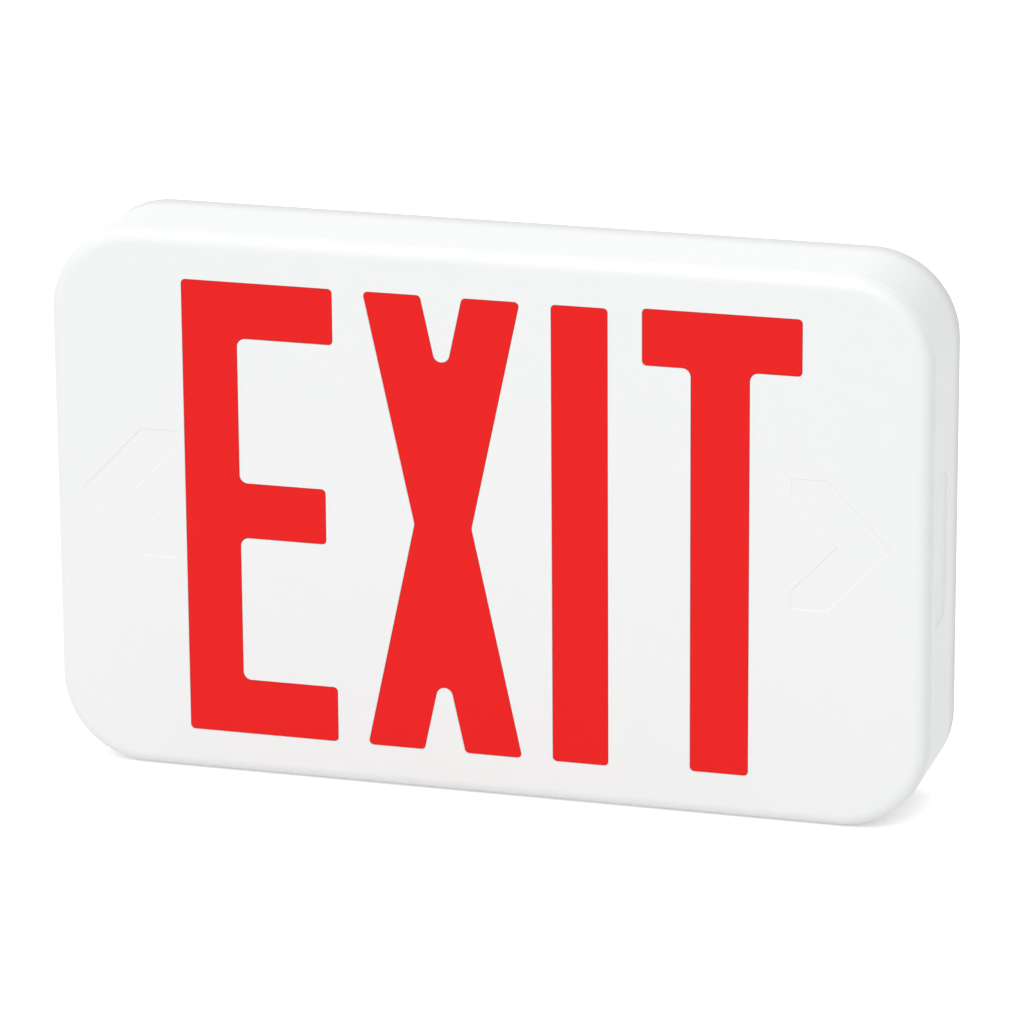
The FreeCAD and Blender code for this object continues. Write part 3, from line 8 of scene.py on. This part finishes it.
import bpy
import numpy as np
from mathutils import Euler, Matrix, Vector


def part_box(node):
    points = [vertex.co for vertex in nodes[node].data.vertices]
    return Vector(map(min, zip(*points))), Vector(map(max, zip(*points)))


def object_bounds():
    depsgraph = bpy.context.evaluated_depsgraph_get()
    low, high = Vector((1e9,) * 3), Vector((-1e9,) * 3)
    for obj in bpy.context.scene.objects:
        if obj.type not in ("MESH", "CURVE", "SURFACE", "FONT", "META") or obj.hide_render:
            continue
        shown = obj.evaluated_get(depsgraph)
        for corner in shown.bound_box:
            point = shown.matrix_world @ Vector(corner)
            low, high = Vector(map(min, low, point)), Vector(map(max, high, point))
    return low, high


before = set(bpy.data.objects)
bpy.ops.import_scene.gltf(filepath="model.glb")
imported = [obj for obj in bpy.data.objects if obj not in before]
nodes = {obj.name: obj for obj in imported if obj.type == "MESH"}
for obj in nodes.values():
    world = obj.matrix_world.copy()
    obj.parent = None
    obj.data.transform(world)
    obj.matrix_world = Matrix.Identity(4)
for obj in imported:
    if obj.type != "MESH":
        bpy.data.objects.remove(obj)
cad_box = [list(corner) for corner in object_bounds()]


# Camera
# A long lens a little under two metres away, to the reader's right and above the sign, so that the
# top and the right end show beside the face.

CAMERA_PLACE = (0.5182, -1.8030, 0.5820)
CAMERA_TURN = (72.5569, 0.3716, 16.0030)
SENSOR_WIDTH = 36.0
LENS_LENGTH = 211.996
FAR_LIMIT = 50.0

camera_data = bpy.data.cameras.new("reader")
camera_data.sensor_width = SENSOR_WIDTH
camera_data.lens = LENS_LENGTH
camera_data.clip_end = FAR_LIMIT
camera = bpy.data.objects.new("reader", camera_data)
camera.location = CAMERA_PLACE
camera.rotation_euler = Euler(np.radians(CAMERA_TURN))
bpy.context.scene.collection.objects.link(camera)
bpy.context.scene.camera = camera
bpy.context.scene.view_settings.view_transform = "Standard"


# Face cover and housing
# Two white ABS mouldings that snap together behind the rounded front edge. The tool is polished,
# so the skin shows only a faint orange peel, and near the wall it carries a painted shade.


class Signal:
    """A node's output to reckon with: each operator adds a Math node beside it."""

    def __init__(self, finish, socket):
        self.finish = finish
        self.socket = socket

    def math(self, operation, first, second):
        return self.finish.node("ShaderNodeMath", {"operation": operation}, {0: first, 1: second})

    def __add__(self, other):
        return self.math("ADD", self, other)

    def __sub__(self, other):
        return self.math("SUBTRACT", self, other)

    def __rsub__(self, other):
        return self.math("SUBTRACT", other, self)

    def __mul__(self, other):
        return self.math("MULTIPLY", self, other)

    def __abs__(self):
        return self.math("ABSOLUTE", self, 0)

    def __pow__(self, other):
        return self.math("POWER", self, other)

    def at_most(self, other):
        return self.math("MINIMUM", self, other)

    def at_least(self, other):
        return self.math("MAXIMUM", self, other)

    def across_cells(self, pitch, centre=0.0):
        """Distance from the middle of the nearest of many equal cells, one of them at centre."""
        return self.math("PINGPONG", self - centre, pitch / 2)

    __radd__ = __add__
    __rmul__ = __mul__


class Finish:
    """A node tree under way: a material or the dome, and one method that adds any node to it."""

    def __init__(self, data, main, space="Object"):
        """main names the shader node that set() feeds, space the coordinates of its textures."""
        data.use_nodes = True
        self.data = data
        self.tree = data.node_tree
        self.main = self.tree.nodes[main]
        self.spot = self.node("ShaderNodeTexCoord", {}, {}, space)

    def node(self, kind, settings, sockets, output=0):
        """Adds a node: its type, then its settings, then the values or links of its sockets."""
        made = self.tree.nodes.new(kind)
        for name, value in settings.items():
            setattr(made, name, value)
        for name, value in sockets.items():
            self.feed(made.inputs[name], value)
        return Signal(self, made.outputs[output])

    def feed(self, socket, value):
        if isinstance(value, Signal):
            self.tree.links.new(value.socket, socket)
        elif socket.type == "RGBA":
            socket.default_value = (*value, 1)
        else:
            socket.default_value = value

    def set(self, name, value):
        self.feed(self.main.inputs[name], value)

    def axis(self, letter):
        """One coordinate of the place: metres on a piece, -1 to 1 on the dome."""
        return self.node("ShaderNodeSeparateXYZ", {}, {0: self.spot}, letter)

    def noise(self, scale, detail=2.0, stretch=(1, 1, 1)):
        """Soft noise about 0.5; scale is in cycles a metre, stretch thins it along an axis."""
        place = self.node("ShaderNodeMapping", {}, {"Vector": self.spot, "Scale": stretch})
        sockets = {"Vector": place, "Scale": scale, "Detail": detail}
        return self.node("ShaderNodeTexNoise", {}, sockets)

    def rise(self, value, low, high):
        """0 at low and 1 at high, smooth in between."""
        sockets = {"Value": value, "From Min": low, "From Max": high}
        return self.node("ShaderNodeMapRange", {"interpolation_type": "SMOOTHSTEP"}, sockets)

    def band(self, value, centre, half, soft):
        """1 within half of centre, 0 from soft beyond it."""
        return 1 - self.rise(abs(value - centre), half, half + soft)

    def blend(self, share, first, second):
        """A colour between two colours."""
        return self.node("ShaderNodeMix", {"data_type": "RGBA"}, {0: share, 6: first, 7: second}, 2)

    def bump(self, height, strength, distance):
        sockets = {"Height": height, "Strength": strength, "Distance": distance}
        self.set("Normal", self.node("ShaderNodeBump", {}, sockets))


def material(name, **constants):
    """A new Principled material with its constant sockets set."""
    finish = Finish(bpy.data.materials.new(name), "Principled BSDF")
    for socket, value in constants.items():
        finish.set(socket.replace("_", " "), value)
    return finish


def plastic(name, first, second, roughness, grain, depth, **constants):
    """Moulded plastic: two near colours in soft clouds, uneven gloss and a grain in its skin.

    grain is in cycles a metre and depth is the bump's strength.
    """
    finish = material(name, **constants)
    finish.set("Base Color", finish.blend(finish.noise(60.0, 3.0), first, second))
    finish.set("Roughness", roughness - 0.05 + 0.1 * finish.noise(300.0))
    finish.bump(finish.noise(grain, 3.0), depth, 0.0002)
    return finish


def dress(finish, *names):
    """Gives CAD nodes a finished material."""
    for name in names:
        slots = nodes[name].data.materials
        slots.clear()
        slots.append(finish.data)


ABS_WHITE = (0.900, 0.918, 0.915)
# The next three set the painted shade along the rear edge: its colour, how far it reaches, its
# fade.
ABS_PAINTED_SHADE = (0.660, 0.670, 0.660)
SHADE_REACH = 0.011
SHADE_FADE = 0.0015
SKIN_GRAIN = 420.0

skin = material("polished_abs", IOR=1.5)
# Painted shade: the white darkens over the last 11 mm before the wall plane, a little rougher
# there.
rear_shade = skin.rise(skin.axis("Y"), -SHADE_REACH, SHADE_FADE) * (0.9 + 0.2 * skin.noise(90.0))
skin.set("Base Color", skin.blend(rear_shade, ABS_WHITE, ABS_PAINTED_SHADE))
skin.set("Roughness", 0.30 + 0.08 * skin.noise(55.0, 3.0) + 0.12 * rear_shade)
skin.bump(skin.noise(SKIN_GRAIN), 0.05, 0.0003)
dress(skin, "face_cover", "housing")


# Red lens
# A panel of red acrylic against the back of the cover, its letters raised to fill the openings
# nearly flush. Its rear is finely frosted, so that it reads as one even field of colour.

ACRYLIC_RED = (0.836, 0.004, 0.003)
ACRYLIC_PALE = (0.866, 0.006, 0.005)

lens = material("frosted_red", Roughness=0.48, IOR=1.45, Specular_IOR_Level=0.30)
lens.set("Base Color", lens.blend(lens.noise(35.0), ACRYLIC_RED, ACRYLIC_PALE))
lens.bump(lens.noise(900.0), 0.04, 0.0002)
dress(lens, "red_lens")


# Reflector tray
# A deep white polystyrene tray that holds the lamps and the electronics. It is glossy inside, a
# little warmer than the case, and screwed to the housing's bosses with zinc-plated screws.

TRAY_WHITE = (0.86, 0.85, 0.81)
TRAY_WARM = (0.82, 0.79, 0.72)
ZINC_BLUE = (0.58, 0.59, 0.60)
ZINC_YELLOW = (0.74, 0.71, 0.62)

tray = plastic("tray_polystyrene", TRAY_WHITE, TRAY_WARM, roughness=0.24, grain=650.0, depth=0.08)
dress(tray, "reflector_tray")

zinc = material("zinc_plate", Metallic=1.0)
zinc.set("Base Color", zinc.blend(zinc.noise(900.0, 3.0), ZINC_BLUE, ZINC_YELLOW))
zinc.set("Roughness", 0.24 + 0.2 * zinc.noise(1400.0, 3.0))
zinc.bump(zinc.noise(2600.0, 3.0, (1, 0.2, 1)), 0.15, 0.0001)
dress(zinc, "tray_screws", "board_screws", "bracket_screws", "terminal_screws")


# Lamp boards and lamps
# Two narrow boards, one along the top of the chamber and one along the bottom, with white solder
# mask over two copper rails and a row of moulded lamps each, whose windows are clear red resin.

LAMP_PITCH = 0.020
LAMP_FIRST = 0.010
LAMP_WINDOW = 0.0011
LAMP_DIE_HALF = 0.00025
RAIL_HALF = 0.0008
RAIL_INSET = 0.0017
RAIL_BREAK_HALF = 0.0006
MASK_WHITE = (0.84, 0.85, 0.83)
MASK_OVER_RAIL = (0.77, 0.79, 0.77)
LAMP_BODY = (0.80, 0.79, 0.74)
LAMP_RESIN = (0.62, 0.045, 0.020)
LAMP_DIE = (0.16, 0.010, 0.006)

(_, board_back, _), (_, board_front, _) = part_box("led_board_top")
(_, lamp_back, _), (_, lamp_front, _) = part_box("leds_top")
lamp_middle = (lamp_back + lamp_front) / 2

mask = material("white_solder_mask", Roughness=0.3)
depth = mask.axis("Y")
rail_a = mask.band(depth, board_back + RAIL_INSET, RAIL_HALF, 0.0001)
rail_b = mask.band(depth, board_front - RAIL_INSET, RAIL_HALF, 0.0001)
from_lamp = mask.axis("X").across_cells(LAMP_PITCH, LAMP_FIRST)
rails = (rail_a + rail_b) * mask.rise(from_lamp, RAIL_BREAK_HALF, RAIL_BREAK_HALF + 0.0001)
mask.set("Base Color", mask.blend(rails, MASK_WHITE, MASK_OVER_RAIL))
mask.set("Roughness", 0.22 + 0.12 * mask.noise(400.0))
mask.bump(rails, 0.5, 0.00004)
dress(mask, "led_board_top", "led_board_bottom")

lamp = material("lamp_resin")
along = lamp.axis("X").across_cells(LAMP_PITCH, LAMP_FIRST)
over = abs(lamp.axis("Y") - lamp_middle)
radius = (along * along + over * over) ** 0.5
window = 1 - lamp.rise(radius, LAMP_WINDOW, LAMP_WINDOW + 0.0001)
die = 1 - lamp.rise(along.at_least(over), LAMP_DIE_HALF - 0.00003, LAMP_DIE_HALF + 0.00003)
resin = lamp.blend(die, LAMP_RESIN, LAMP_DIE)
lamp.set("Base Color", lamp.blend(window, LAMP_BODY, resin))
lamp.set("Roughness", 0.42 - 0.34 * window + 0.05 * lamp.noise(2000.0))
lamp.bump(window, -0.5, 0.00008)
dress(lamp, "leds_top", "leds_bottom")


# Driver board
# A single-sided glass-epoxy board on the back of the tray: green mask over wide copper areas with
# narrow gaps, a printed white border, and the bare laminate's straw colour along its sawn edges.

MASK_GREEN = (0.010, 0.105, 0.035)
MASK_OVER_COPPER = (0.022, 0.210, 0.065)
PRINT_WHITE = (0.78, 0.80, 0.76)
LAMINATE = (0.46, 0.40, 0.20)
AREAS_A_METRE = 105.0
AREAS_UNEVEN = 0.8
HALF_GAP = 0.04
GAP_EDGE = 0.01
PRINT_INSET = 0.0012
PRINT_HALF = 0.00012
SOFT_EDGE = 0.00003
BARE_SCALE = 45.0
BARE_BELOW = 0.36

board_low, board_high = (Vector(corner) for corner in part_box("driver_board"))
board_middle = (board_low + board_high) / 2
board_half = (board_high - board_low) / 2

board = material("green_solder_mask")
across, depth, up = board.axis("X"), board.axis("Y"), board.axis("Z")
plan = board.node("ShaderNodeCombineXYZ", {}, {"X": across, "Y": up})
areas = {"Vector": plan, "Scale": AREAS_A_METRE, "Randomness": AREAS_UNEVEN}
gap = board.node("ShaderNodeTexVoronoi", {"feature": "DISTANCE_TO_EDGE"}, areas, "Distance")
kept = board.rise(board.noise(BARE_SCALE, 0.0), BARE_BELOW, BARE_BELOW + 0.02)
copper = kept * board.rise(gap, HALF_GAP, HALF_GAP + GAP_EDGE)
inset_x = board_half.x - abs(across - board_middle.x)
inset_z = board_half.z - abs(up - board_middle.z)
border = board.band(inset_x.at_most(inset_z), PRINT_INSET, PRINT_HALF, SOFT_EDGE)
sawn = board.band(depth, board_middle.y, board_half.y - 2 * SOFT_EDGE, SOFT_EDGE)
green = board.blend(copper, MASK_GREEN, MASK_OVER_COPPER)
faces = board.blend(border, green, PRINT_WHITE)
board.set("Base Color", board.blend(sawn, faces, LAMINATE))
board.set("Roughness", 0.26 + 0.08 * board.noise(500.0) + 0.45 * sawn)
board.bump(copper + board.noise(5000.0) * sawn, 0.5, 0.00004)
dress(board, "driver_board")


# Parts on the driver board
# Moulded, dipped and sleeved parts, each in its maker's usual finish. Black epoxy is matt with a
# fine grain and holds tinned legs, dipped coats are glossy and uneven, and cans wear sleeves.

EPOXY_DARK = (0.014, 0.014, 0.015)
EPOXY_LIGHT = (0.026, 0.026, 0.027)
TIN = (0.62, 0.62, 0.60)
HAIRLINE = 0.00001


def epoxy(name, legs_of):
    """Moulded black epoxy; legs_of(finish) is 1 on the part's tinned legs."""
    finish = material(f"epoxy_{name}")
    legs = legs_of(finish)
    black = finish.blend(finish.noise(60.0, 3.0), EPOXY_DARK, EPOXY_LIGHT)
    finish.set("Base Color", finish.blend(legs, black, TIN))
    finish.set("Metallic", legs)
    finish.set("Roughness", 0.50 - 0.25 * legs + 0.1 * finish.noise(300.0))
    finish.bump(finish.noise(5200.0, 3.0), 0.3, 0.0002)
    dress(finish, name)


def beside(name, reach):
    """Legs that stand out above and below a body, reach being how far they pass it."""
    low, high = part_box(name)
    middle, start = (low[2] + high[2]) / 2, (high[2] - low[2]) / 2 - reach
    return lambda finish: finish.rise(abs(finish.axis("Z") - middle), start, start + HAIRLINE)


PIN_REACH = 0.0008
TRANSISTOR_LIFT = 0.0015

(_, board_skin, _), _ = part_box("charge_transistor")
seat = board_skin + TRANSISTOR_LIFT

epoxy("bridge_rectifier", beside("bridge_rectifier", PIN_REACH))
epoxy("control_chip", beside("control_chip", PIN_REACH))
epoxy("charge_transistor", lambda finish: 1 - finish.rise(finish.axis("Y"), seat - HAIRLINE, seat))
black = plastic("switch_black", EPOXY_DARK, EPOXY_LIGHT, roughness=0.50, grain=3800.0, depth=0.25)
dress(black, "switch_case")

BOX_YELLOW = (0.80, 0.50, 0.030)
BOX_PALE = (0.88, 0.58, 0.045)
CAP_BROWN = (0.085, 0.036, 0.018)
CAP_PALE = (0.120, 0.052, 0.026)

film_box = plastic("capacitor_box", BOX_YELLOW, BOX_PALE, roughness=0.30, grain=700.0, depth=0.12)
dress(film_box, "film_capacitor")

fuse_cap = plastic("fuse_cap", CAP_BROWN, CAP_PALE, roughness=0.42, grain=1800.0, depth=0.15)
dress(fuse_cap, "fuse")

VARISTOR_LEG_TOP = 0.0006
DIP_BLUE = (0.012, 0.075, 0.330)
DIP_PALE = (0.022, 0.110, 0.420)

dipped = material("dipped_blue")
coat_from = board_skin + VARISTOR_LEG_TOP
legs = 1 - dipped.rise(dipped.axis("Y"), coat_from, coat_from + 0.0001)
blue = dipped.blend(dipped.noise(60.0, 3.0), DIP_BLUE, DIP_PALE)
dipped.set("Base Color", dipped.blend(legs, blue, TIN))
dipped.set("Metallic", legs)
dipped.set("Roughness", 0.22 + 0.1 * dipped.noise(300.0))
dipped.bump(dipped.noise(420.0, 3.0), 0.5, 0.0002)
dress(dipped, "surge_varistor")

FERRITE_DARK = (0.030, 0.030, 0.033)
FERRITE_GREY = (0.062, 0.060, 0.060)

ferrite = plastic("ferrite", FERRITE_DARK, FERRITE_GREY, roughness=0.66, grain=3600.0, depth=0.45)
dress(ferrite, "transformer_core")

TAPE_YELLOW = (0.84, 0.56, 0.045)
TAPE_LAPPED = (0.62, 0.38, 0.030)
TAPE_WIDTH = 0.0024
BOBBIN_BLACK = (0.020, 0.016, 0.014)
BOBBIN_FLANGE = 0.0010

tape = material("winding_tape")
up = tape.axis("Z")
(_, _, coil_foot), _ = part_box("transformer_winding")
laps = tape.band(up.across_cells(TAPE_WIDTH, coil_foot), TAPE_WIDTH / 2, 0.00010, 0.00006)
flange = beside("transformer_winding", BOBBIN_FLANGE)(tape)
wound = tape.blend(laps, TAPE_YELLOW, TAPE_LAPPED)
tape.set("Base Color", tape.blend(flange, wound, BOBBIN_BLACK))
tape.set("Roughness", 0.2 + 0.14 * tape.noise(320.0, 2.0, (1, 1, 0.2)) + 0.2 * flange)
tape.bump(laps * (1 - flange), -0.6, 0.00005)
dress(tape, "transformer_winding")

CAN_SLEEVE = (0.012, 0.016, 0.045)
CAN_STRIPE = (0.50, 0.52, 0.55)
CAN_ALUMINIUM = (0.72, 0.73, 0.74)
CAN_FIRST = (0.0640, -0.0480)
CAN_PITCH = 0.011
SMALL_CAN_FROM = 0.0805
SMALL_CAN_RAISED = 0.001
CAN_STRIPE_HALF = 0.0011
CAN_BARE_RADIUS = 0.0025
CAN_BARE_DEPTH = 0.0012
VENT_HALF = 0.00012

_, (_, can_top, _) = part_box("electrolytic_capacitors")
sleeve = material("capacitor_sleeve")
across = sleeve.axis("X")
raised = SMALL_CAN_RAISED * sleeve.rise(across, SMALL_CAN_FROM, SMALL_CAN_FROM + HAIRLINE)
from_x = across.across_cells(CAN_PITCH, CAN_FIRST[0])
from_z = sleeve.axis("Z") - CAN_FIRST[1] - raised
radius = (from_x * from_x + from_z * from_z) ** 0.5
disc = 1 - sleeve.rise(radius, CAN_BARE_RADIUS, CAN_BARE_RADIUS + 0.00005)
bare_from = can_top - CAN_BARE_DEPTH
bare = disc * sleeve.rise(sleeve.axis("Y"), bare_from, bare_from + HAIRLINE)
vent = sleeve.band(from_x.at_most(abs(from_z)), 0.0, VENT_HALF, 0.00004) * bare
lower_side = 1 - sleeve.rise(from_z, -HAIRLINE, 0.0)
stripe = sleeve.band(from_x, 0.0, CAN_STRIPE_HALF, 0.0001) * lower_side
printed = sleeve.blend(stripe, CAN_SLEEVE, CAN_STRIPE)
sleeve.set("Base Color", sleeve.blend(bare, printed, CAN_ALUMINIUM))
sleeve.set("Metallic", bare)
sleeve.set("Roughness", 0.3 + 0.08 * sleeve.noise(900.0))
sleeve.bump(sleeve.noise(260.0, 2.0, (1, 3, 1)) * 0.2 - bare - vent, 0.4, 0.0001)
dress(sleeve, "electrolytic_capacitors")

CLAMP_GREEN = (0.010, 0.200, 0.080)
CLAMP_PALE = (0.016, 0.250, 0.105)
NYLON_CREAM = (0.76, 0.72, 0.58)
NYLON_PALE = (0.82, 0.79, 0.67)

clamps = plastic("clamp_green", CLAMP_GREEN, CLAMP_PALE, roughness=0.4, grain=2400.0, depth=0.2)
dress(clamps, "supply_terminals")

nylon = plastic("natural_nylon", NYLON_CREAM, NYLON_PALE, roughness=0.38, grain=2100.0, depth=0.15)
dress(nylon, "battery_connector", "led_connectors")


# Battery, bracket and inner leads
# Three nickel cells in one shrink sleeve, strapped down by a moulded bracket, and the thin stranded
# leads that join battery and lamp boards to the driver. The sleeve is puckered over the cell ends.

SLEEVE_GREEN = (0.030, 0.270, 0.160)
SLEEVE_DEEP = (0.018, 0.200, 0.120)
NICKEL = (0.66, 0.64, 0.59)
END_RING = 0.0052
END_SKIN = 0.0001
PUCKER_LENGTH = 0.006

pack_low, pack_high = (Vector(corner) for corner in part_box("battery_pack"))
cell = pack_high.y - pack_low.y
pack_middle = (pack_low + pack_high) / 2

shrink = material("shrink_sleeve", Coat_Weight=0.4, Coat_Roughness=0.12)
to_end = pack_high.x - pack_middle.x - abs(shrink.axis("X") - pack_middle.x)
end = 1 - shrink.rise(to_end, 0.0, END_SKIN)
round_z = shrink.axis("Z").across_cells(cell, pack_low.z + cell / 2)
round_y = shrink.axis("Y") - pack_middle.y
from_axis = (round_z * round_z + round_y * round_y) ** 0.5
cap = (1 - shrink.rise(from_axis, END_RING, END_RING + 0.0002)) * end
pucker = 1 - shrink.rise(to_end, 0.0, PUCKER_LENGTH)
shrink.set("Base Color", shrink.blend(cap, shrink.blend(pucker, SLEEVE_GREEN, SLEEVE_DEEP), NICKEL))
shrink.set("Metallic", cap)
shrink.set("Roughness", 0.3 + 0.12 * shrink.noise(500.0))
shrink.bump(shrink.noise(700.0, 2.0, (0.15, 1, 1)) * (0.15 + pucker), 0.6, 0.0003)
dress(shrink, "battery_pack")

ABS_BLACK = (0.018, 0.018, 0.019)
ABS_BLACK_PALE = (0.028, 0.028, 0.030)

strap = plastic("bracket_abs", ABS_BLACK, ABS_BLACK_PALE, roughness=0.46, grain=2600.0, depth=0.3)
dress(strap, "battery_bracket")

LEAD_COLOURS = {
    "red": ((0.52, 0.016, 0.012), (0.60, 0.024, 0.018)),
    "black": ((0.015, 0.015, 0.016), (0.028, 0.028, 0.030)),
    "white": ((0.72, 0.72, 0.70), (0.80, 0.80, 0.78)),
}
LEADS = {
    "red": ("battery_lead_red",),
    "black": ("battery_lead_black",),
    "white": ("led_lead_top", "led_lead_bottom"),
}

for colour, names in LEADS.items():
    first, second = LEAD_COLOURS[colour]
    jacket = plastic(f"lead_{colour}", first, second, roughness=0.44, grain=1500.0, depth=0.2)
    dress(jacket, *names)


# Test switch and status light
# A red push button and a green lamp look down through the housing's floor. Behind the button a
# white acetal plunger works the switch on the driver board.

BUTTON_RED = (0.56, 0.012, 0.010)
BUTTON_PALE = (0.62, 0.018, 0.014)
ACETAL_WHITE = (0.80, 0.80, 0.78)
ACETAL_PALE = (0.85, 0.85, 0.84)

red_cap = plastic("button_red", BUTTON_RED, BUTTON_PALE, roughness=0.28, grain=1200.0, depth=0.1)
dress(red_cap, "test_button")

acetal = plastic("acetal", ACETAL_WHITE, ACETAL_PALE, roughness=0.36, grain=1900.0, depth=0.1)
dress(acetal, "switch_plunger")

LIGHT_LENGTH = 0.0086
LIGHT_GREEN = (0.015, 0.360, 0.070)
LIGHT_PALE = (0.030, 0.440, 0.100)
LIGHT_LEGS = (0.70, 0.70, 0.68)

(_, _, light_tip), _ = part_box("status_light")
green_light = material("status_green", IOR=1.5)
legs_from = light_tip + LIGHT_LENGTH
legs = green_light.rise(green_light.axis("Z"), legs_from, legs_from + 0.0001)
tint = green_light.blend(green_light.noise(500.0), LIGHT_GREEN, LIGHT_PALE)
green_light.set("Base Color", green_light.blend(legs, tint, LIGHT_LEGS))
green_light.set("Metallic", legs)
green_light.set("Roughness", 0.12 + 0.2 * legs + 0.04 * green_light.noise(900.0))
green_light.bump(green_light.noise(1500.0), 0.05, 0.0001)
dress(green_light, "status_light")


# Back plate
# A snap-in plate of the same ABS. Its tool is spark-eroded, not polished, so both sides are matt
# with a fine even grain.

PLATE_WHITE = (0.83, 0.84, 0.83)
PLATE_PALE = (0.88, 0.89, 0.88)

plate = plastic("sparked_abs", PLATE_WHITE, PLATE_PALE, roughness=0.56, grain=1700.0, depth=0.35)
dress(plate, "back_plate")


# Studio
# A pale paper floor, clear from below, under a soft dome that is fullest overhead, a little fuller
# in front and on the left, and flagged at both sides, with one wide soft panel above the reader.

DOME_LEVEL = 0.352
DOME_SLOPE = (-0.22, -0.18, 0.90)
DOME_FLAGS = 0.28
FLOOR_COLOUR = 0.85
FLOOR_GLOW = 0.46
FLOOR_REACH = 8.0
FLOOR_GAP = 0.0003
PANEL_PLACE = (0.25, -1.6, 1.9)
PANEL_SIZE = 1.4
PANEL_POWER = 14.0


def directly_seen(finish):
    """1 for rays from the camera and for those that meet a surface by gloss or through glass."""
    kinds = ("Camera", "Glossy", "Transmission")
    rays = [finish.node("ShaderNodeLightPath", {}, {}, f"Is {kind} Ray") for kind in kinds]
    return rays[0].at_least(rays[1]).at_least(rays[2])


world = bpy.data.worlds.new("dome")
bpy.context.scene.world = world
dome = Finish(world, "Background", "Generated")
lean = {0: dome.spot, 1: DOME_SLOPE}
slope = dome.node("ShaderNodeVectorMath", {"operation": "DOT_PRODUCT"}, lean, 1)
side = dome.axis("X")
level = (slope + DOME_LEVEL - DOME_FLAGS * side * side).at_least(0.0)
seen = directly_seen(dome)
dome.set("Color", (1, 1, 1))
dome.set("Strength", level * (1 - seen) + seen)

panel_light = bpy.data.lights.new("soft_panel", "AREA")
panel_light.size = PANEL_SIZE
panel_light.energy = PANEL_POWER
panel = bpy.data.objects.new("soft_panel", panel_light)
panel.location = PANEL_PLACE
panel.rotation_euler = (-Vector(PANEL_PLACE)).to_track_quat("-Z", "Y").to_euler()
bpy.context.scene.collection.objects.link(panel)

floor_height = cad_box[0][2] - FLOOR_GAP
floor_mesh = bpy.data.meshes.new("floor")
edge = np.array([-FLOOR_REACH, FLOOR_REACH])
corners = np.stack([edge[[0, 1, 1, 0]], edge[[0, 0, 1, 1]], np.full(4, floor_height)], axis=1)
floor_mesh.from_pydata(corners.tolist(), [], [(0, 1, 2, 3)])
floor = bpy.data.objects.new("floor", floor_mesh)
bpy.context.scene.collection.objects.link(floor)
paper = material("paper", Roughness=0.95, Specular_IOR_Level=0.0, Emission_Strength=1.0)
paper.set("Base Color", (FLOOR_COLOUR,) * 3)
paper.set("Emission Color", paper.blend(directly_seen(paper), (0, 0, 0), (FLOOR_GLOW,) * 3))
paper.set("Alpha", 1 - paper.node("ShaderNodeNewGeometry", {}, {}, "Backfacing"))
floor_mesh.materials.append(paper.data)
